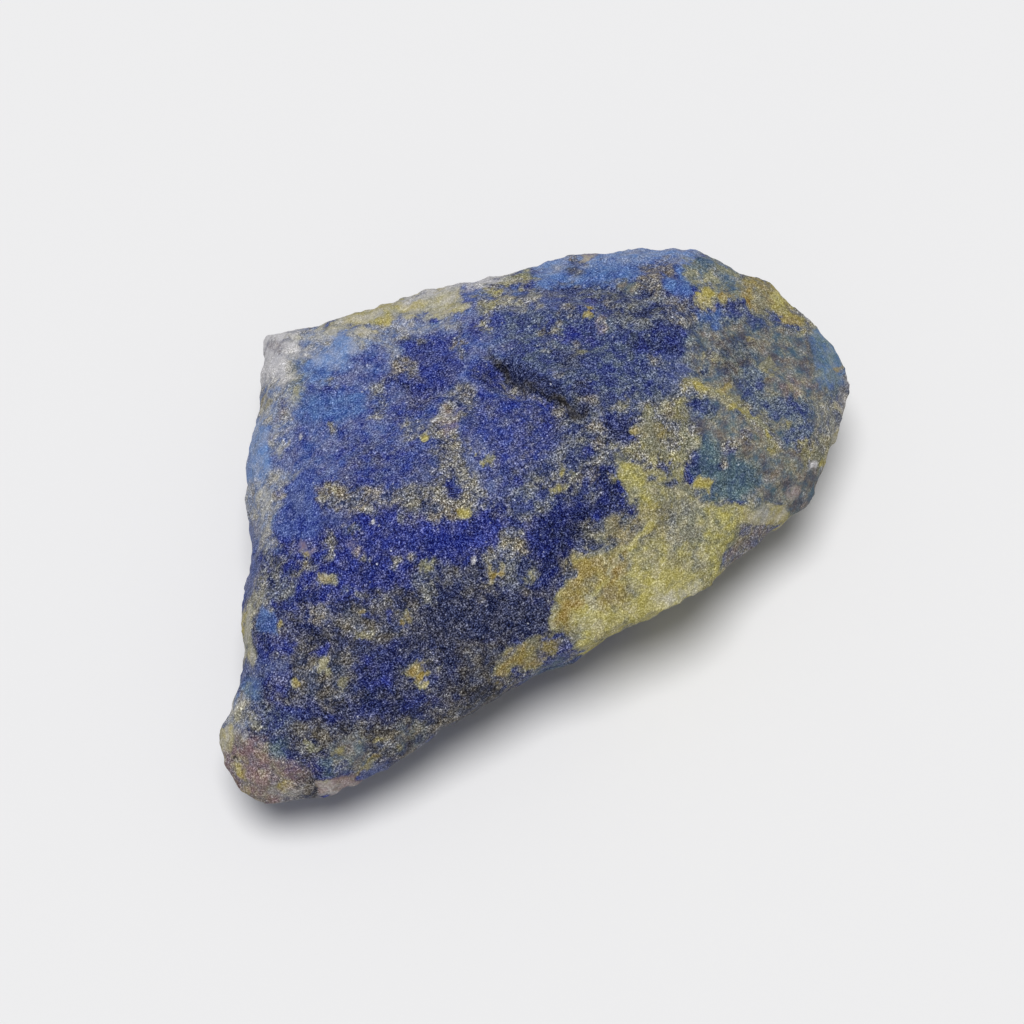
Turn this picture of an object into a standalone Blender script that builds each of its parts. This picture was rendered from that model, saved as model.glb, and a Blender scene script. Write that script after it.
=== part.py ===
"""Rough lapis lazuli: one broken hand specimen lying on its broadest face.

The stone is a single natural lump, so it is a single object, lapis_stone. Its widest outline, the girth, is a
closed line in space. Above the girth the stone is bounded by fracture faces that meet in softened ridges, and
below it by the undercut faces that lead down to the face it rests on. Creases, hollows and lumps are then worked
into that form, and the dense form is reduced to a faceted solid.

The stone lies along X, rests on Z = 0 and stands over the origin. Lengths below are in millimetres.
"""

import math

import bmesh
import bpy
import numpy as np
from mathutils import Vector, noise

MM = 0.001

# How finely the form is drawn before it is reduced, and how many triangles the solid keeps.
GIRTH_SAMPLES = 420
TOP_RINGS = 124
UNDER_RINGS = 60
SOLID_TRIANGLES = 9000

# The widest outline, anticlockwise from the blunt tip at -X: x, y and the height of the rim there, and how
# rounded the rim is, from 0 for a crisp broken edge to 1.
GIRTH = [
    # blunt tip
    (-30.8, -8.4, 7.0, 1.0),
    (-31.4, -12.1, 6.5, 1.0),
    (-30.3, -14.5, 6.5, 1.0),
    (-26.4, -16.8, 6.5, 0.9),
    # long front edge, undercut and lifting towards the calcite crust
    (-23.7, -17.6, 6.5, 0.8),
    (-19.7, -18.0, 7.0, 0.7),
    (-15.9, -17.9, 8.0, 0.7),
    (-11.4, -18.3, 8.5, 0.7),
    (-8.0, -18.2, 9.0, 0.6),
    (-4.9, -18.7, 9.5, 0.5),
    (-2.5, -19.3, 10.5, 0.2),
    (0.2, -19.6, 11.0, 0.1),
    (2.4, -19.9, 11.0, 0.1),
    (3.9, -20.5, 11.0, 0.1),
    (6.4, -20.5, 10.5, 0.1),
    (9.1, -20.2, 10.0, 0.2),
    (12.0, -19.2, 9.0, 0.3),
    # front corner and blunt end
    (15.5, -18.7, 8.0, 0.3),
    (18.0, -18.2, 8.0, 0.4),
    (20.8, -18.0, 8.0, 0.4),
    (23.6, -16.2, 8.5, 0.4),
    (25.9, -14.8, 8.5, 0.4),
    (28.4, -13.0, 9.0, 0.5),
    (30.5, -11.1, 9.0, 0.6),
    (31.4, -8.5, 9.0, 0.7),
    (31.3, -4.6, 9.5, 0.7),
    (30.4, -2.2, 10.0, 0.7),
    (30.1, 0.3, 10.5, 0.7),
    # long back edge
    (28.3, 2.3, 11.0, 0.7),
    (26.7, 5.9, 11.0, 0.7),
    (23.4, 8.7, 11.0, 0.8),
    (19.3, 10.4, 11.5, 0.8),
    (15.3, 12.3, 11.5, 0.8),
    (11.8, 13.3, 11.0, 0.7),
    (9.1, 14.6, 10.5, 0.6),
    (5.1, 16.4, 10.0, 0.5),
    (1.4, 17.1, 10.0, 0.5),
    (-2.0, 18.1, 9.5, 0.4),
    (-5.7, 19.6, 9.0, 0.4),
    # back corner
    (-8.7, 20.5, 9.0, 0.3),
    (-10.2, 18.4, 9.0, 0.5),
    # slanting, slightly hollow left edge
    (-13.4, 14.0, 9.0, 0.8),
    (-16.1, 11.2, 9.0, 0.9),
    (-18.6, 7.1, 9.0, 0.9),
    (-20.6, 3.2, 8.5, 0.9),
    (-23.7, -0.7, 8.5, 0.9),
    (-25.9, -4.5, 8.5, 0.9),
    (-28.4, -6.8, 8.0, 0.9),
]
RING_CENTRE = (1.0, -4.0)

# Fracture faces over the girth: a point on the face, and its rise along X and along Y.
ROOF_FACES = [
    ((-8.0, -4.0, 18.6), 0.05, -0.31),  # broad back-left face, falling to the back corner
    ((-8.0, -5.0, 18.6), 0.10, 0.54),  # front-left face
    ((-17.0, 3.0, 14.0), 0.45, -0.35),  # slope down to the left edge
    ((-24.0, -10.0, 12.3), 0.50, 0.18),  # slope down to the tip
    ((5.0, -11.0, 17.0), -0.05, 0.60),  # front face under the calcite crust
    ((20.0, -12.0, 14.1), -0.20, 0.48),  # front corner
    ((20.0, -8.0, 15.3), -0.42, 0.10),  # slope down to the blunt end
    ((26.0, -12.0, 11.6), -0.60, 0.35),  # chamfer at the front of the blunt end
    ((14.5, 4.0, 16.2), -0.22, -0.50),  # back face, along the back edge
    ((8.0, -3.0, 18.2), -0.05, 0.05),  # nearly level top
]
# Faces under the girth, in the same terms. The first is the face it rests on, which is worn level at Z = 0.
REST_DEPTH = 0.8
REST_SNAP = 0.03  # height under which the solid is brought down to its resting face
FLOOR_FACES = [
    ((0.0, 0.0, -REST_DEPTH), 0.0, 0.0),
    ((-14.0, -18.0, 4.2), -0.10, -0.48),  # under the front edge
    ((5.0, -20.0, 6.6), 0.06, -0.95),  # under the calcite crust
    ((25.0, -15.0, 4.6), 0.55, -0.62),  # under the front corner
    ((30.0, -4.0, 4.6), 0.50, 0.08),  # under the blunt end
    ((15.0, 12.0, 5.6), 0.22, 0.62),  # under the back edge
    ((-4.0, 18.0, 5.4), -0.06, 0.50),  # under the back corner
    ((-20.0, 4.0, 4.2), -0.42, 0.22),  # under the left edge
    ((-30.0, -12.0, 3.4), -0.32, -0.06),  # under the tip
]
RIDGE_SOFTNESS = 0.7
# The rounding of the rim above and below the girth, from a crisp rim to a fully rounded one: its width, and its
# fullness, where 1 is a chamfer and 2 a quarter circle.
SHOULDER_WIDTH = (1.2, 3.0)
UNDERCUT_WIDTH = (1.6, 3.2)
RIM_FULLNESS = (1.25, 2.0)
EDGE_SWELL = (0.0, 0.15)  # how far the lumpy, rounded rim stands outside the line it is drawn from

# Creases where one layer of the rock stands over the next: the line, the depth and half width of the groove along
# it, the height by which the left side stands over the right, and how far that step runs out. A groove of
# negative depth is a rib.
CREASES = [
    # the main crack, with the back layer standing over it
    dict(
        line=[(3.2, 4.4), (3.5, 2.8), (3.7, 0.6), (4.3, -1.4), (5.1, -2.8), (6.3, -4.5), (7.7, -6.3)],
        depth=1.5, width=0.55, step=0.9, run=2.4,
    ),
    # its fainter run to the left
    dict(
        line=[(-5.4, 8.8), (-3.6, 6.4), (-1.1, 3.7), (0.6, 2.4), (1.9, 0.9)],
        depth=0.45, width=0.5, step=0.35, run=1.5,
    ),
    # a short ledge just in front of the crack
    dict(line=[(1.9, -1.0), (2.5, -2.3), (3.2, -3.5), (4.3, -5.1)], depth=0.45, width=0.5, step=0.3, run=1.2),
    # the calcite crust's edge, standing over the blue trough beside it
    dict(
        line=[(7.3, -8.6), (6.5, -10.9), (6.1, -13.0), (3.9, -13.8), (1.2, -14.2), (-1.5, -14.9), (-3.6, -16.2),
              (-4.7, -17.6)],
        depth=0.5, width=1.1, step=0.6, run=1.8,
    ),
    # a rib of crust running to the blunt end
    dict(
        line=[(14.6, -5.2), (15.8, -6.9), (17.3, -9.2), (18.6, -11.4), (19.2, -14.2), (21.0, -15.8)],
        depth=-0.55, width=0.9, step=0.0, run=1.0,
    ),
    # a short ledge near the tip
    dict(line=[(-29.6, -14.0), (-27.5, -14.6), (-25.6, -15.3), (-23.4, -15.7)], depth=0.3, width=0.6, step=0.35,
         run=1.2),
    # a small dark crack on the front-left face
    dict(line=[(-21.7, -6.2), (-21.2, -7.4), (-20.6, -8.9), (-20.0, -10.6)], depth=0.6, width=0.5, step=0.15,
         run=1.0),
    # the chamfer along the back edge, dropping to the rim
    dict(
        line=[(-7.6, 17.8), (-5.0, 16.8), (-2.2, 15.2), (0.9, 14.1), (3.6, 12.8), (6.4, 11.6)],
        depth=0.4, width=0.6, step=-0.3, run=2.0,
    ),
]
CREASE_TAPER = 0.25  # share of a crease's length over which each end fades out
CREASE_ROUND = 0.2  # radius at the bottom of a groove
CREASE_WALL = 0.5  # width of the small wall of a step
CREASE_WANDER = 0.35  # how far a crease wanders to each side of its line

# Shallow hollows: centre, half length, half width, turn in degrees and depth. A negative depth is a swelling.
HOLLOWS = [
    ((9.5, -0.2), 6.5, 3.2, -35.0, 0.6),  # behind the crack
    ((2.6, -12.4), 5.0, 2.2, 25.0, 0.7),  # blue trough beside the crust
    ((14.8, -9.4), 2.6, 1.8, -50.0, 0.5),  # in front of the rib
    ((13.6, -14.6), 4.2, 2.4, -40.0, 0.5),
    ((20.8, -11.2), 3.2, 2.0, -60.0, 0.4),  # behind the rib
    ((-14.5, -2.5), 6.0, 3.0, 20.0, 0.35),
    ((-3.0, 8.5), 5.0, 3.0, -30.0, -0.4),
    ((-18.0, -12.0), 5.0, 2.5, 10.0, -0.45),
    ((22.0, 0.0), 5.0, 3.0, -40.0, -0.35),
    ((6.5, -17.0), 4.0, 1.6, 0.0, -0.3),
]

# Scoops left by flakes that broke off the underside, in the same terms as the hollows.
FLAKE_SCARS = [
    ((-21.0, -8.0), 6.0, 3.5, 60.0, 1.1),
    ((-6.0, 14.0), 7.0, 4.0, -35.0, 1.3),
    ((21.0, 7.0), 6.5, 3.5, -45.0, 1.2),
    ((26.5, -9.0), 5.0, 3.0, 80.0, 1.0),
    ((5.0, -20.8), 10.0, 3.6, 0.0, 2.6),
    ((-9.0, -19.5), 8.0, 3.4, 0.0, 1.9),
    ((12.0, -14.5), 5.0, 2.6, 20.0, 0.8),
]

# Lumps all over the surface: the size of a lump, its height, and the share of it left at the girth. They are
# drawn out along the layers of the rock.
LUMPS = [(8.0, 0.9, 0.15), (4.2, 0.7, 0.4), (2.1, 0.4, 0.8)]
LUMP_SEED = (11.0, 3.0, 7.0)
LUMP_WARP = [Vector((5.0, 1.0, 9.0)), Vector((2.0, 8.0, 4.0)), Vector((7.0, 6.0, 3.0))]
LUMP_FADE = 5.0  # distance from the girth over which a lump reaches its full height
LAYER_WAY = (0.45, -0.89)
LAYER_STRETCH = 1.5
UNDER_ROUGHNESS = 1.6  # how much higher the lumps are on the underside


def between(ends, share):
    return ends[0] + (ends[1] - ends[0]) * share


def inset(loop, distance):
    """Moves an anticlockwise loop of points inwards in plan, each by its own distance."""
    along = (np.roll(loop, -1, axis=0) - np.roll(loop, 1, axis=0))[:, :2]
    inward = np.stack([-along[:, 1], along[:, 0]], axis=1)
    moved = loop.copy()
    moved[:, :2] += distance[:, None] * inward / np.linalg.norm(inward, axis=1)[:, None]
    return moved


def closed_curve(points, samples):
    """A smooth closed curve through the points, at equal steps along each chord."""
    points = np.array(points, float)
    before, after, beyond = (np.roll(points, shift, axis=0) for shift in (1, -1, -2))
    chord = np.linalg.norm((after - points)[:, :3], axis=1)
    reach = np.concatenate([[0.0], np.cumsum(chord)])
    at = np.linspace(0.0, reach[-1], samples, endpoint=False)
    span = np.searchsorted(reach, at, side="right") - 1
    u = ((at - reach[span]) / chord[span])[:, None]
    a, b, c, d = before[span], points[span], after[span], beyond[span]
    return 0.5 * (
        2 * b + (c - a) * u + (2 * a - 5 * b + 4 * c - d) * u**2 + (3 * b - 3 * c + d - a) * u**3
    )


def face_heights(faces, x, y):
    return np.stack([z0 + along_x * (x - x0) + along_y * (y - y0) for (x0, y0, z0), along_x, along_y in faces])


def softest(heights, softness):
    """The lowest of the heights, with the ridges between them softened. A negative softness takes the highest."""
    return -softness * np.log(np.exp(-heights / softness).sum(axis=0))


def nearest_on_line(line, x, y):
    """For each place: its distance from the line, positive on the left, and its share of the way along it."""
    line = np.array(line, float)
    lengths = np.linalg.norm(np.diff(line, axis=0), axis=1)
    starts = np.concatenate([[0.0], np.cumsum(lengths)])
    best = np.full(x.shape, np.inf)
    side, share = np.zeros(x.shape), np.zeros(x.shape)
    for (ax, ay), (bx, by), length, start in zip(line, line[1:], lengths, starts):
        ux, uy = (bx - ax) / length, (by - ay) / length
        along = (x - ax) * ux + (y - ay) * uy
        held = np.clip(along, 0.0, length)
        away = np.hypot(x - ax - held * ux, y - ay - held * uy)
        across = ux * (y - ay) - uy * (x - ax)
        nearer = away < best
        best = np.where(nearer, away, best)
        side = np.where(nearer, np.sign(across), side)
        share = np.where(nearer, (start + held) / starts[-1], share)
    return best * side, share


def smooth_step(value):
    value = np.clip(value, 0.0, 1.0)
    return value * value * (3.0 - 2.0 * value)


def crease_lift(crease, x, y):
    """How far a crease moves the surface up, by its groove and by the step on its left."""
    aside = CREASE_WANDER * (np.sin(1.3 * y + 0.6 * x) + 0.3 * np.sin(2.9 * y - 1.1 * x + 2.0))
    over = CREASE_WANDER * (np.sin(1.4 * x - 0.5 * y + 1.0) + 0.3 * np.sin(3.1 * x + 0.9 * y))
    across, share = nearest_on_line(crease["line"], x + aside, y + over)
    away = np.hypot(across, CREASE_ROUND) - CREASE_ROUND
    groove = crease["depth"] * np.exp(-away / crease["width"])
    step = crease["step"] * smooth_step(across / CREASE_WALL) * np.exp(-away / crease["run"])
    return (step - groove) * smooth_step(share / CREASE_TAPER) * smooth_step((1 - share) / CREASE_TAPER)


def hollow_depth(hollow, x, y):
    (cx, cy), half_length, half_width, turn, depth = hollow
    c, s = math.cos(math.radians(turn)), math.sin(math.radians(turn))
    along = ((x - cx) * c + (y - cy) * s) / half_length
    across = ((y - cy) * c - (x - cx) * s) / half_width
    return depth * np.exp(-1.5 * (along**2 + across**2))


def roof(x, y):
    z = softest(face_heights(ROOF_FACES, x, y), RIDGE_SOFTNESS)
    z += sum(crease_lift(crease, x, y) for crease in CREASES)
    return z - sum(hollow_depth(hollow, x, y) for hollow in HOLLOWS)


def floor(x, y):
    z = softest(face_heights(FLOOR_FACES, x, y), -RIDGE_SOFTNESS)
    return z + sum(hollow_depth(scar, x, y) for scar in FLAKE_SCARS)


def rounded(inward, widths, roundness):
    """The rounding of the rim, from 0 at the girth to 1 where the rounding ends inside it."""
    fullness = between(RIM_FULLNESS, roundness)
    left = 1.0 - np.clip(inward / between(widths, roundness), 0.0, 1.0)
    return (1.0 - left**fullness) ** (1 / fullness)


def shell(girth, rings, surface, widths):
    """Rings of points from just inside the girth to the ring centre, closer together towards the girth."""
    share = 1.0 - (np.arange(1, rings) / rings)[:, None] ** 1.5
    centre = np.array(RING_CENTRE)
    x = centre[0] + (girth[:, 0] - centre[0]) * share
    y = centre[1] + (girth[:, 1] - centre[1]) * share
    rim = np.broadcast_to(girth[:, 2], x.shape)
    outline = np.vstack([girth[:, :2], girth[:1, :2]])
    inward = np.abs(nearest_on_line(outline, x, y)[0])
    z = rim + (surface(x, y) - rim) * rounded(inward, widths, girth[:, 3])
    peak = surface(np.array([centre[0]]), np.array([centre[1]]))[0]
    return np.stack([x, y, z], axis=-1), inward, (centre[0], centre[1], peak)


def lump_height(place, inward):
    """Rounded lumps with narrow valleys between them, the same on every run."""
    way = Vector((*LAYER_WAY, 0.0)).normalized()
    drawn = place - way * place.dot(way) * (1 - 1 / LAYER_STRETCH)
    inside = min(inward / LUMP_FADE, 1.0)
    height = 0.0
    for size, rise, at_girth in LUMPS:
        spot = drawn / size + Vector(LUMP_SEED) * size
        spot += Vector(noise.noise(spot * 0.7 + shift) for shift in LUMP_WARP) * 0.5
        height += rise * (abs(noise.noise(spot)) - 0.22) * (at_girth + (1 - at_girth) * inside)
    return height


def dense_form():
    """The whole stone as one closed mesh of rings, in millimetres."""
    girth = closed_curve(GIRTH, GIRTH_SAMPLES)
    girth = inset(girth, between(EDGE_SWELL, girth[:, 3]))
    form = bmesh.new()
    inside = []

    def ring(points, inward):
        inside.extend(inward)
        return [form.verts.new(point) for point in points]

    rim = ring(girth[:, :3], np.zeros(GIRTH_SAMPLES))
    for rings, surface, widths, upward in (
        (TOP_RINGS, roof, SHOULDER_WIDTH, True),
        (UNDER_RINGS, floor, UNDERCUT_WIDTH, False),
    ):
        circles, inwards, pole = shell(girth, rings, surface, widths)
        last = rim
        for points, inward in zip(circles, inwards):
            new = ring(points, inward)
            for i in range(GIRTH_SAMPLES):
                j = (i + 1) % GIRTH_SAMPLES
                corners = (last[i], last[j], new[j], new[i])
                form.faces.new(corners if upward else corners[::-1])
            last = new
        (middle,) = ring([pole], [LUMP_FADE])
        for i in range(GIRTH_SAMPLES):
            corners = (last[i], last[(i + 1) % GIRTH_SAMPLES], middle)
            form.faces.new(corners if upward else corners[::-1])
    form.normal_update()
    for vert, inward in zip(form.verts, inside):
        rougher = 1.0 + (UNDER_ROUGHNESS - 1.0) * max(-vert.normal.z, 0.0)
        vert.co += vert.normal * lump_height(vert.co, inward) * rougher
        vert.co.z = max(vert.co.z, 0.0)
    return form


def solid_stone(form):
    """Reduces the dense form to the solid's triangles and sets it over the origin, in metres."""
    mesh = bpy.data.meshes.new("dense_form")
    form.to_mesh(mesh)
    form.free()
    dense = bpy.data.objects.new("dense_form", mesh)
    bpy.context.scene.collection.objects.link(dense)
    reduce = dense.modifiers.new("reduce", "DECIMATE")
    reduce.ratio = SOLID_TRIANGLES / sum(len(polygon.vertices) - 2 for polygon in mesh.polygons)
    reduce.use_collapse_triangulate = True
    bpy.context.view_layer.update()
    stone = bmesh.new()
    stone.from_mesh(dense.evaluated_get(bpy.context.evaluated_depsgraph_get()).to_mesh())
    bpy.data.objects.remove(dense)

    bmesh.ops.beautify_fill(stone, faces=stone.faces[:], edges=stone.edges[:], method="ANGLE")
    places = np.array([vert.co for vert in stone.verts])
    middle = (places.min(axis=0) + places.max(axis=0)) / 2
    for vert in stone.verts:
        level = 0.0 if vert.co.z < REST_SNAP else vert.co.z
        vert.co = Vector((vert.co.x - middle[0], vert.co.y - middle[1], level)) * MM
    return stone


def lapis_material():
    material = bpy.data.materials.new("lapis")
    material.use_nodes = True
    shader = material.node_tree.nodes["Principled BSDF"]
    shader.inputs["Base Color"].default_value = (0.11, 0.14, 0.25, 1.0)
    shader.inputs["Roughness"].default_value = 0.8
    shader.inputs["Metallic"].default_value = 0.0
    return material


def main():
    for obj in list(bpy.data.objects):
        bpy.data.objects.remove(obj)
    stone = solid_stone(dense_form())
    mesh = bpy.data.meshes.new("lapis_stone")
    stone.to_mesh(mesh)
    stone.free()
    mesh.materials.append(lapis_material())
    bpy.context.scene.collection.objects.link(bpy.data.objects.new("lapis_stone", mesh))


main()
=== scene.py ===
import math

import bmesh
import bpy
import numpy as np
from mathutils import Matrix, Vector


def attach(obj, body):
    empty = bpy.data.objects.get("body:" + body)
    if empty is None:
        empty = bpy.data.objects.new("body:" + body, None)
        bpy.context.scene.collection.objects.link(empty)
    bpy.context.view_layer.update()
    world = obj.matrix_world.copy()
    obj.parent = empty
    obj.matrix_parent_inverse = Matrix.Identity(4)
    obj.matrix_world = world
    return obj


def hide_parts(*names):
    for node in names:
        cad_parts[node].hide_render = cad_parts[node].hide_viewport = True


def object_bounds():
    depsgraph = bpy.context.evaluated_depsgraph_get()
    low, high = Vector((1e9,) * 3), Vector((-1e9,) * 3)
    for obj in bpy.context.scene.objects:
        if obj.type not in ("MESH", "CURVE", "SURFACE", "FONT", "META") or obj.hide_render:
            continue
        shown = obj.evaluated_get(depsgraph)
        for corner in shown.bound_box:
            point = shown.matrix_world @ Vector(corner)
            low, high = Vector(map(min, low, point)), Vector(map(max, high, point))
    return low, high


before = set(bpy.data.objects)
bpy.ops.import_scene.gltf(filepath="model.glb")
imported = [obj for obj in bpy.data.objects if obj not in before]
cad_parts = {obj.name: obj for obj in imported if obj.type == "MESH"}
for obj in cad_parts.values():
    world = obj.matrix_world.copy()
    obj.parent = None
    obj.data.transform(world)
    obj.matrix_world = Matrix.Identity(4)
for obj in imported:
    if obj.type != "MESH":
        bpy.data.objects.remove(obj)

CAD_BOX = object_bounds()
MM = 0.001

# ---------------------------------------------------------------- the view
FRAME_SIDE = 1024           # steps of the view to a side
LENS, SENSOR = 80.0, 36.0
AZIMUTH, ELEVATION = math.radians(-34), math.radians(62)
AIM = Vector((-0.499, -5.280, 9.0)) * MM    # the middle of the view
REACH = 187.278 * MM                        # how far off the camera stands
BACK = Vector((math.sin(AZIMUTH) * math.cos(ELEVATION),
               -math.cos(AZIMUTH) * math.cos(ELEVATION), math.sin(ELEVATION)))
RIGHT = Vector((math.cos(AZIMUTH), math.sin(AZIMUTH), 0))
UP = BACK.cross(RIGHT)
EYE = AIM + BACK * REACH

# The lamp leans from straight overhead, turned leftwards from the far side.
LAMP_LIGHT, LAMP_WIDTH = 2.6, math.radians(32)
LAMP_TILT, LAMP_TURN = math.radians(4), math.radians(110)
ROOM_LIGHT = 0.25

# ------------------------------------------------------------- the surface
SKIN_STEP = 0.26 * MM       # spacing of the skin's points
SKIN_SOFTENING = 3          # rounds that take the flats off the solid
REST_BAND = 0.25 * MM       # the skin lies flat on the floor below this height
BOX_ROOM = 0.020            # share of a side that the skin may stand proud
NORMAL_ROUNDS = 12          # rounds that take the small bumps off the normals

# Bumps of three sizes, and how far the whole skin is drawn in to carry them.
SURFACE = {
    "Lump Size": 3.2 * MM, "Lump Height": 0.60 * MM,
    "Chip Size": 1.4 * MM, "Chip Height": 0.24 * MM,
    "Grain Size": 0.52 * MM, "Grain Height": 0.20 * MM,
    "Inset": 0.17 * MM,
    "Seed": 4.0,
}

# The minerals that a place on the stone can hold, each from 0 to 1. Shade is partly a dark grey-brown
# ground and partly painted shade in the crack, the creases and a pit.
MINERALS = ("deep", "navy", "sky", "teal", "calcite", "crust", "ochre",
            "rose", "cream", "shade")

# The rocks that the stone is made of, as shares of those minerals in twentieths.
ROCKS = {
    # blue rock
    "ultramarine": dict(deep=0.95, navy=0.2, calcite=0.05),
    "royal blue": dict(deep=0.95, navy=0.25, sky=0.55),
    "clear blue": dict(deep=1, navy=0.05, sky=0.25, rose=0.05),
    "blue": dict(deep=1, navy=0.4, calcite=0.1),
    "hazy blue": dict(deep=0.9, navy=0.1, sky=0.2, cream=0.1),
    "dull blue": dict(deep=0.45, navy=0.1, sky=0.1, teal=0.1, calcite=0.15, shade=0.1),
    "violet blue": dict(deep=0.6, navy=0.2, sky=0.4, calcite=0.05, rose=0.15),
    "sky": dict(deep=0.9, sky=1, calcite=0.15, cream=0.15),
    "light cyan": dict(deep=0.7, sky=1, cream=0.25),
    "cyan": dict(deep=0.45, sky=0.8, teal=0.55, calcite=0.1, cream=0.1),
    "teal": dict(navy=0.05, sky=0.1, teal=0.55, calcite=0.1, shade=0.15),
    # dark rock
    "slate": dict(deep=0.5, navy=0.1, teal=0.15, calcite=0.1),
    "dark slate": dict(deep=0.5, navy=0.6, calcite=0.05, shade=0.1),
    "navy": dict(deep=1, navy=0.75),
    "dark navy": dict(deep=1, navy=1, calcite=0.05),
    # wall, dim and black paint shade in the crack, on the ledge wall above it, in creases and in a pit
    "wall": dict(deep=0.45, navy=0.7),
    "dim": dict(deep=0.3, navy=1, shade=0.85),
    "black": dict(navy=1, shade=1),
    # rock grown through with calcite
    "mottled": dict(deep=0.25, navy=0.55, teal=0.1, calcite=0.25),
    "dark mottled": dict(deep=0.5, navy=0.9, calcite=0.15, shade=0.15),
    "haze": dict(deep=0.4, navy=0.1, sky=0.45, calcite=0.35, cream=0.2),
    "pale haze": dict(deep=0.25, sky=0.55, calcite=0.6, crust=0.1, cream=0.25),
    "grey": dict(sky=0.3, teal=0.85, calcite=0.5, rose=0.1, shade=0.4),
    "light grey": dict(calcite=0.55, crust=0.2, ochre=0.1, cream=0.1),
    "side grey": dict(deep=0.2, sky=0.35, calcite=0.7, crust=0.1, ochre=0.15, rose=0.15, shade=0.35),
    "green grey": dict(sky=0.4, teal=0.75, calcite=0.7, crust=0.35),
    "dark grey": dict(navy=0.15, calcite=0.25, ochre=0.45, shade=0.75),
    "umber grey": dict(navy=0.5, calcite=0.1, ochre=0.4, shade=0.8),
    "beige": dict(deep=0.2, navy=0.35, teal=0.1, calcite=0.55, ochre=0.2),
    "light beige": dict(deep=0.75, navy=0.4, calcite=0.65),
    "pink beige": dict(deep=0.7, navy=0.1, sky=0.25, calcite=0.5, ochre=0.25, rose=0.25),
    "dark beige": dict(navy=0.1, calcite=0.2, ochre=0.4, shade=0.6),
    "brown": dict(navy=0.05, calcite=0.45, ochre=0.7, shade=0.1),
    "mauve": dict(teal=0.1, calcite=0.65, crust=0.25, rose=0.45, shade=0.2),
    "cream": dict(calcite=0.6, cream=0.9),
    "dull cream": dict(calcite=0.3, crust=0.1, rose=0.1, cream=0.35, shade=0.65),
    "lilac": dict(cream=1),
    "frost": dict(navy=0.2, calcite=0.15, crust=0.1, ochre=0.7, cream=0.3, shade=0.65),
    "red": dict(deep=1, sky=0.95, rose=0.9, cream=0.1),
    # the yellow weathered crust
    "crust": dict(crust=0.65, ochre=0.05, rose=0.05),
    "lemon": dict(crust=0.75),
    "yellow": dict(crust=1, ochre=0.3),
    "ochre": dict(calcite=0.1, crust=0.8, ochre=0.7),
    "orange": dict(crust=1, ochre=1),
    "olive": dict(calcite=0.7, crust=0.5, ochre=0.2, shade=0.4),
    "pale crust": dict(crust=1, ochre=0.1, cream=0.1),
    "cream crust": dict(crust=0.95, ochre=0.35, cream=0.35),
    "pink crust": dict(crust=1, cream=0.3),
    "pink cream": dict(calcite=0.3, crust=0.65, rose=0.65, cream=0.3, shade=0.5),
    "grey crust": dict(teal=0.15, calcite=0.3, crust=0.5, ochre=0.35, shade=0.2),
    "dark crust": dict(teal=0.25, calcite=0.3, crust=0.25, ochre=0.8, shade=0.65),
}

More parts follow.
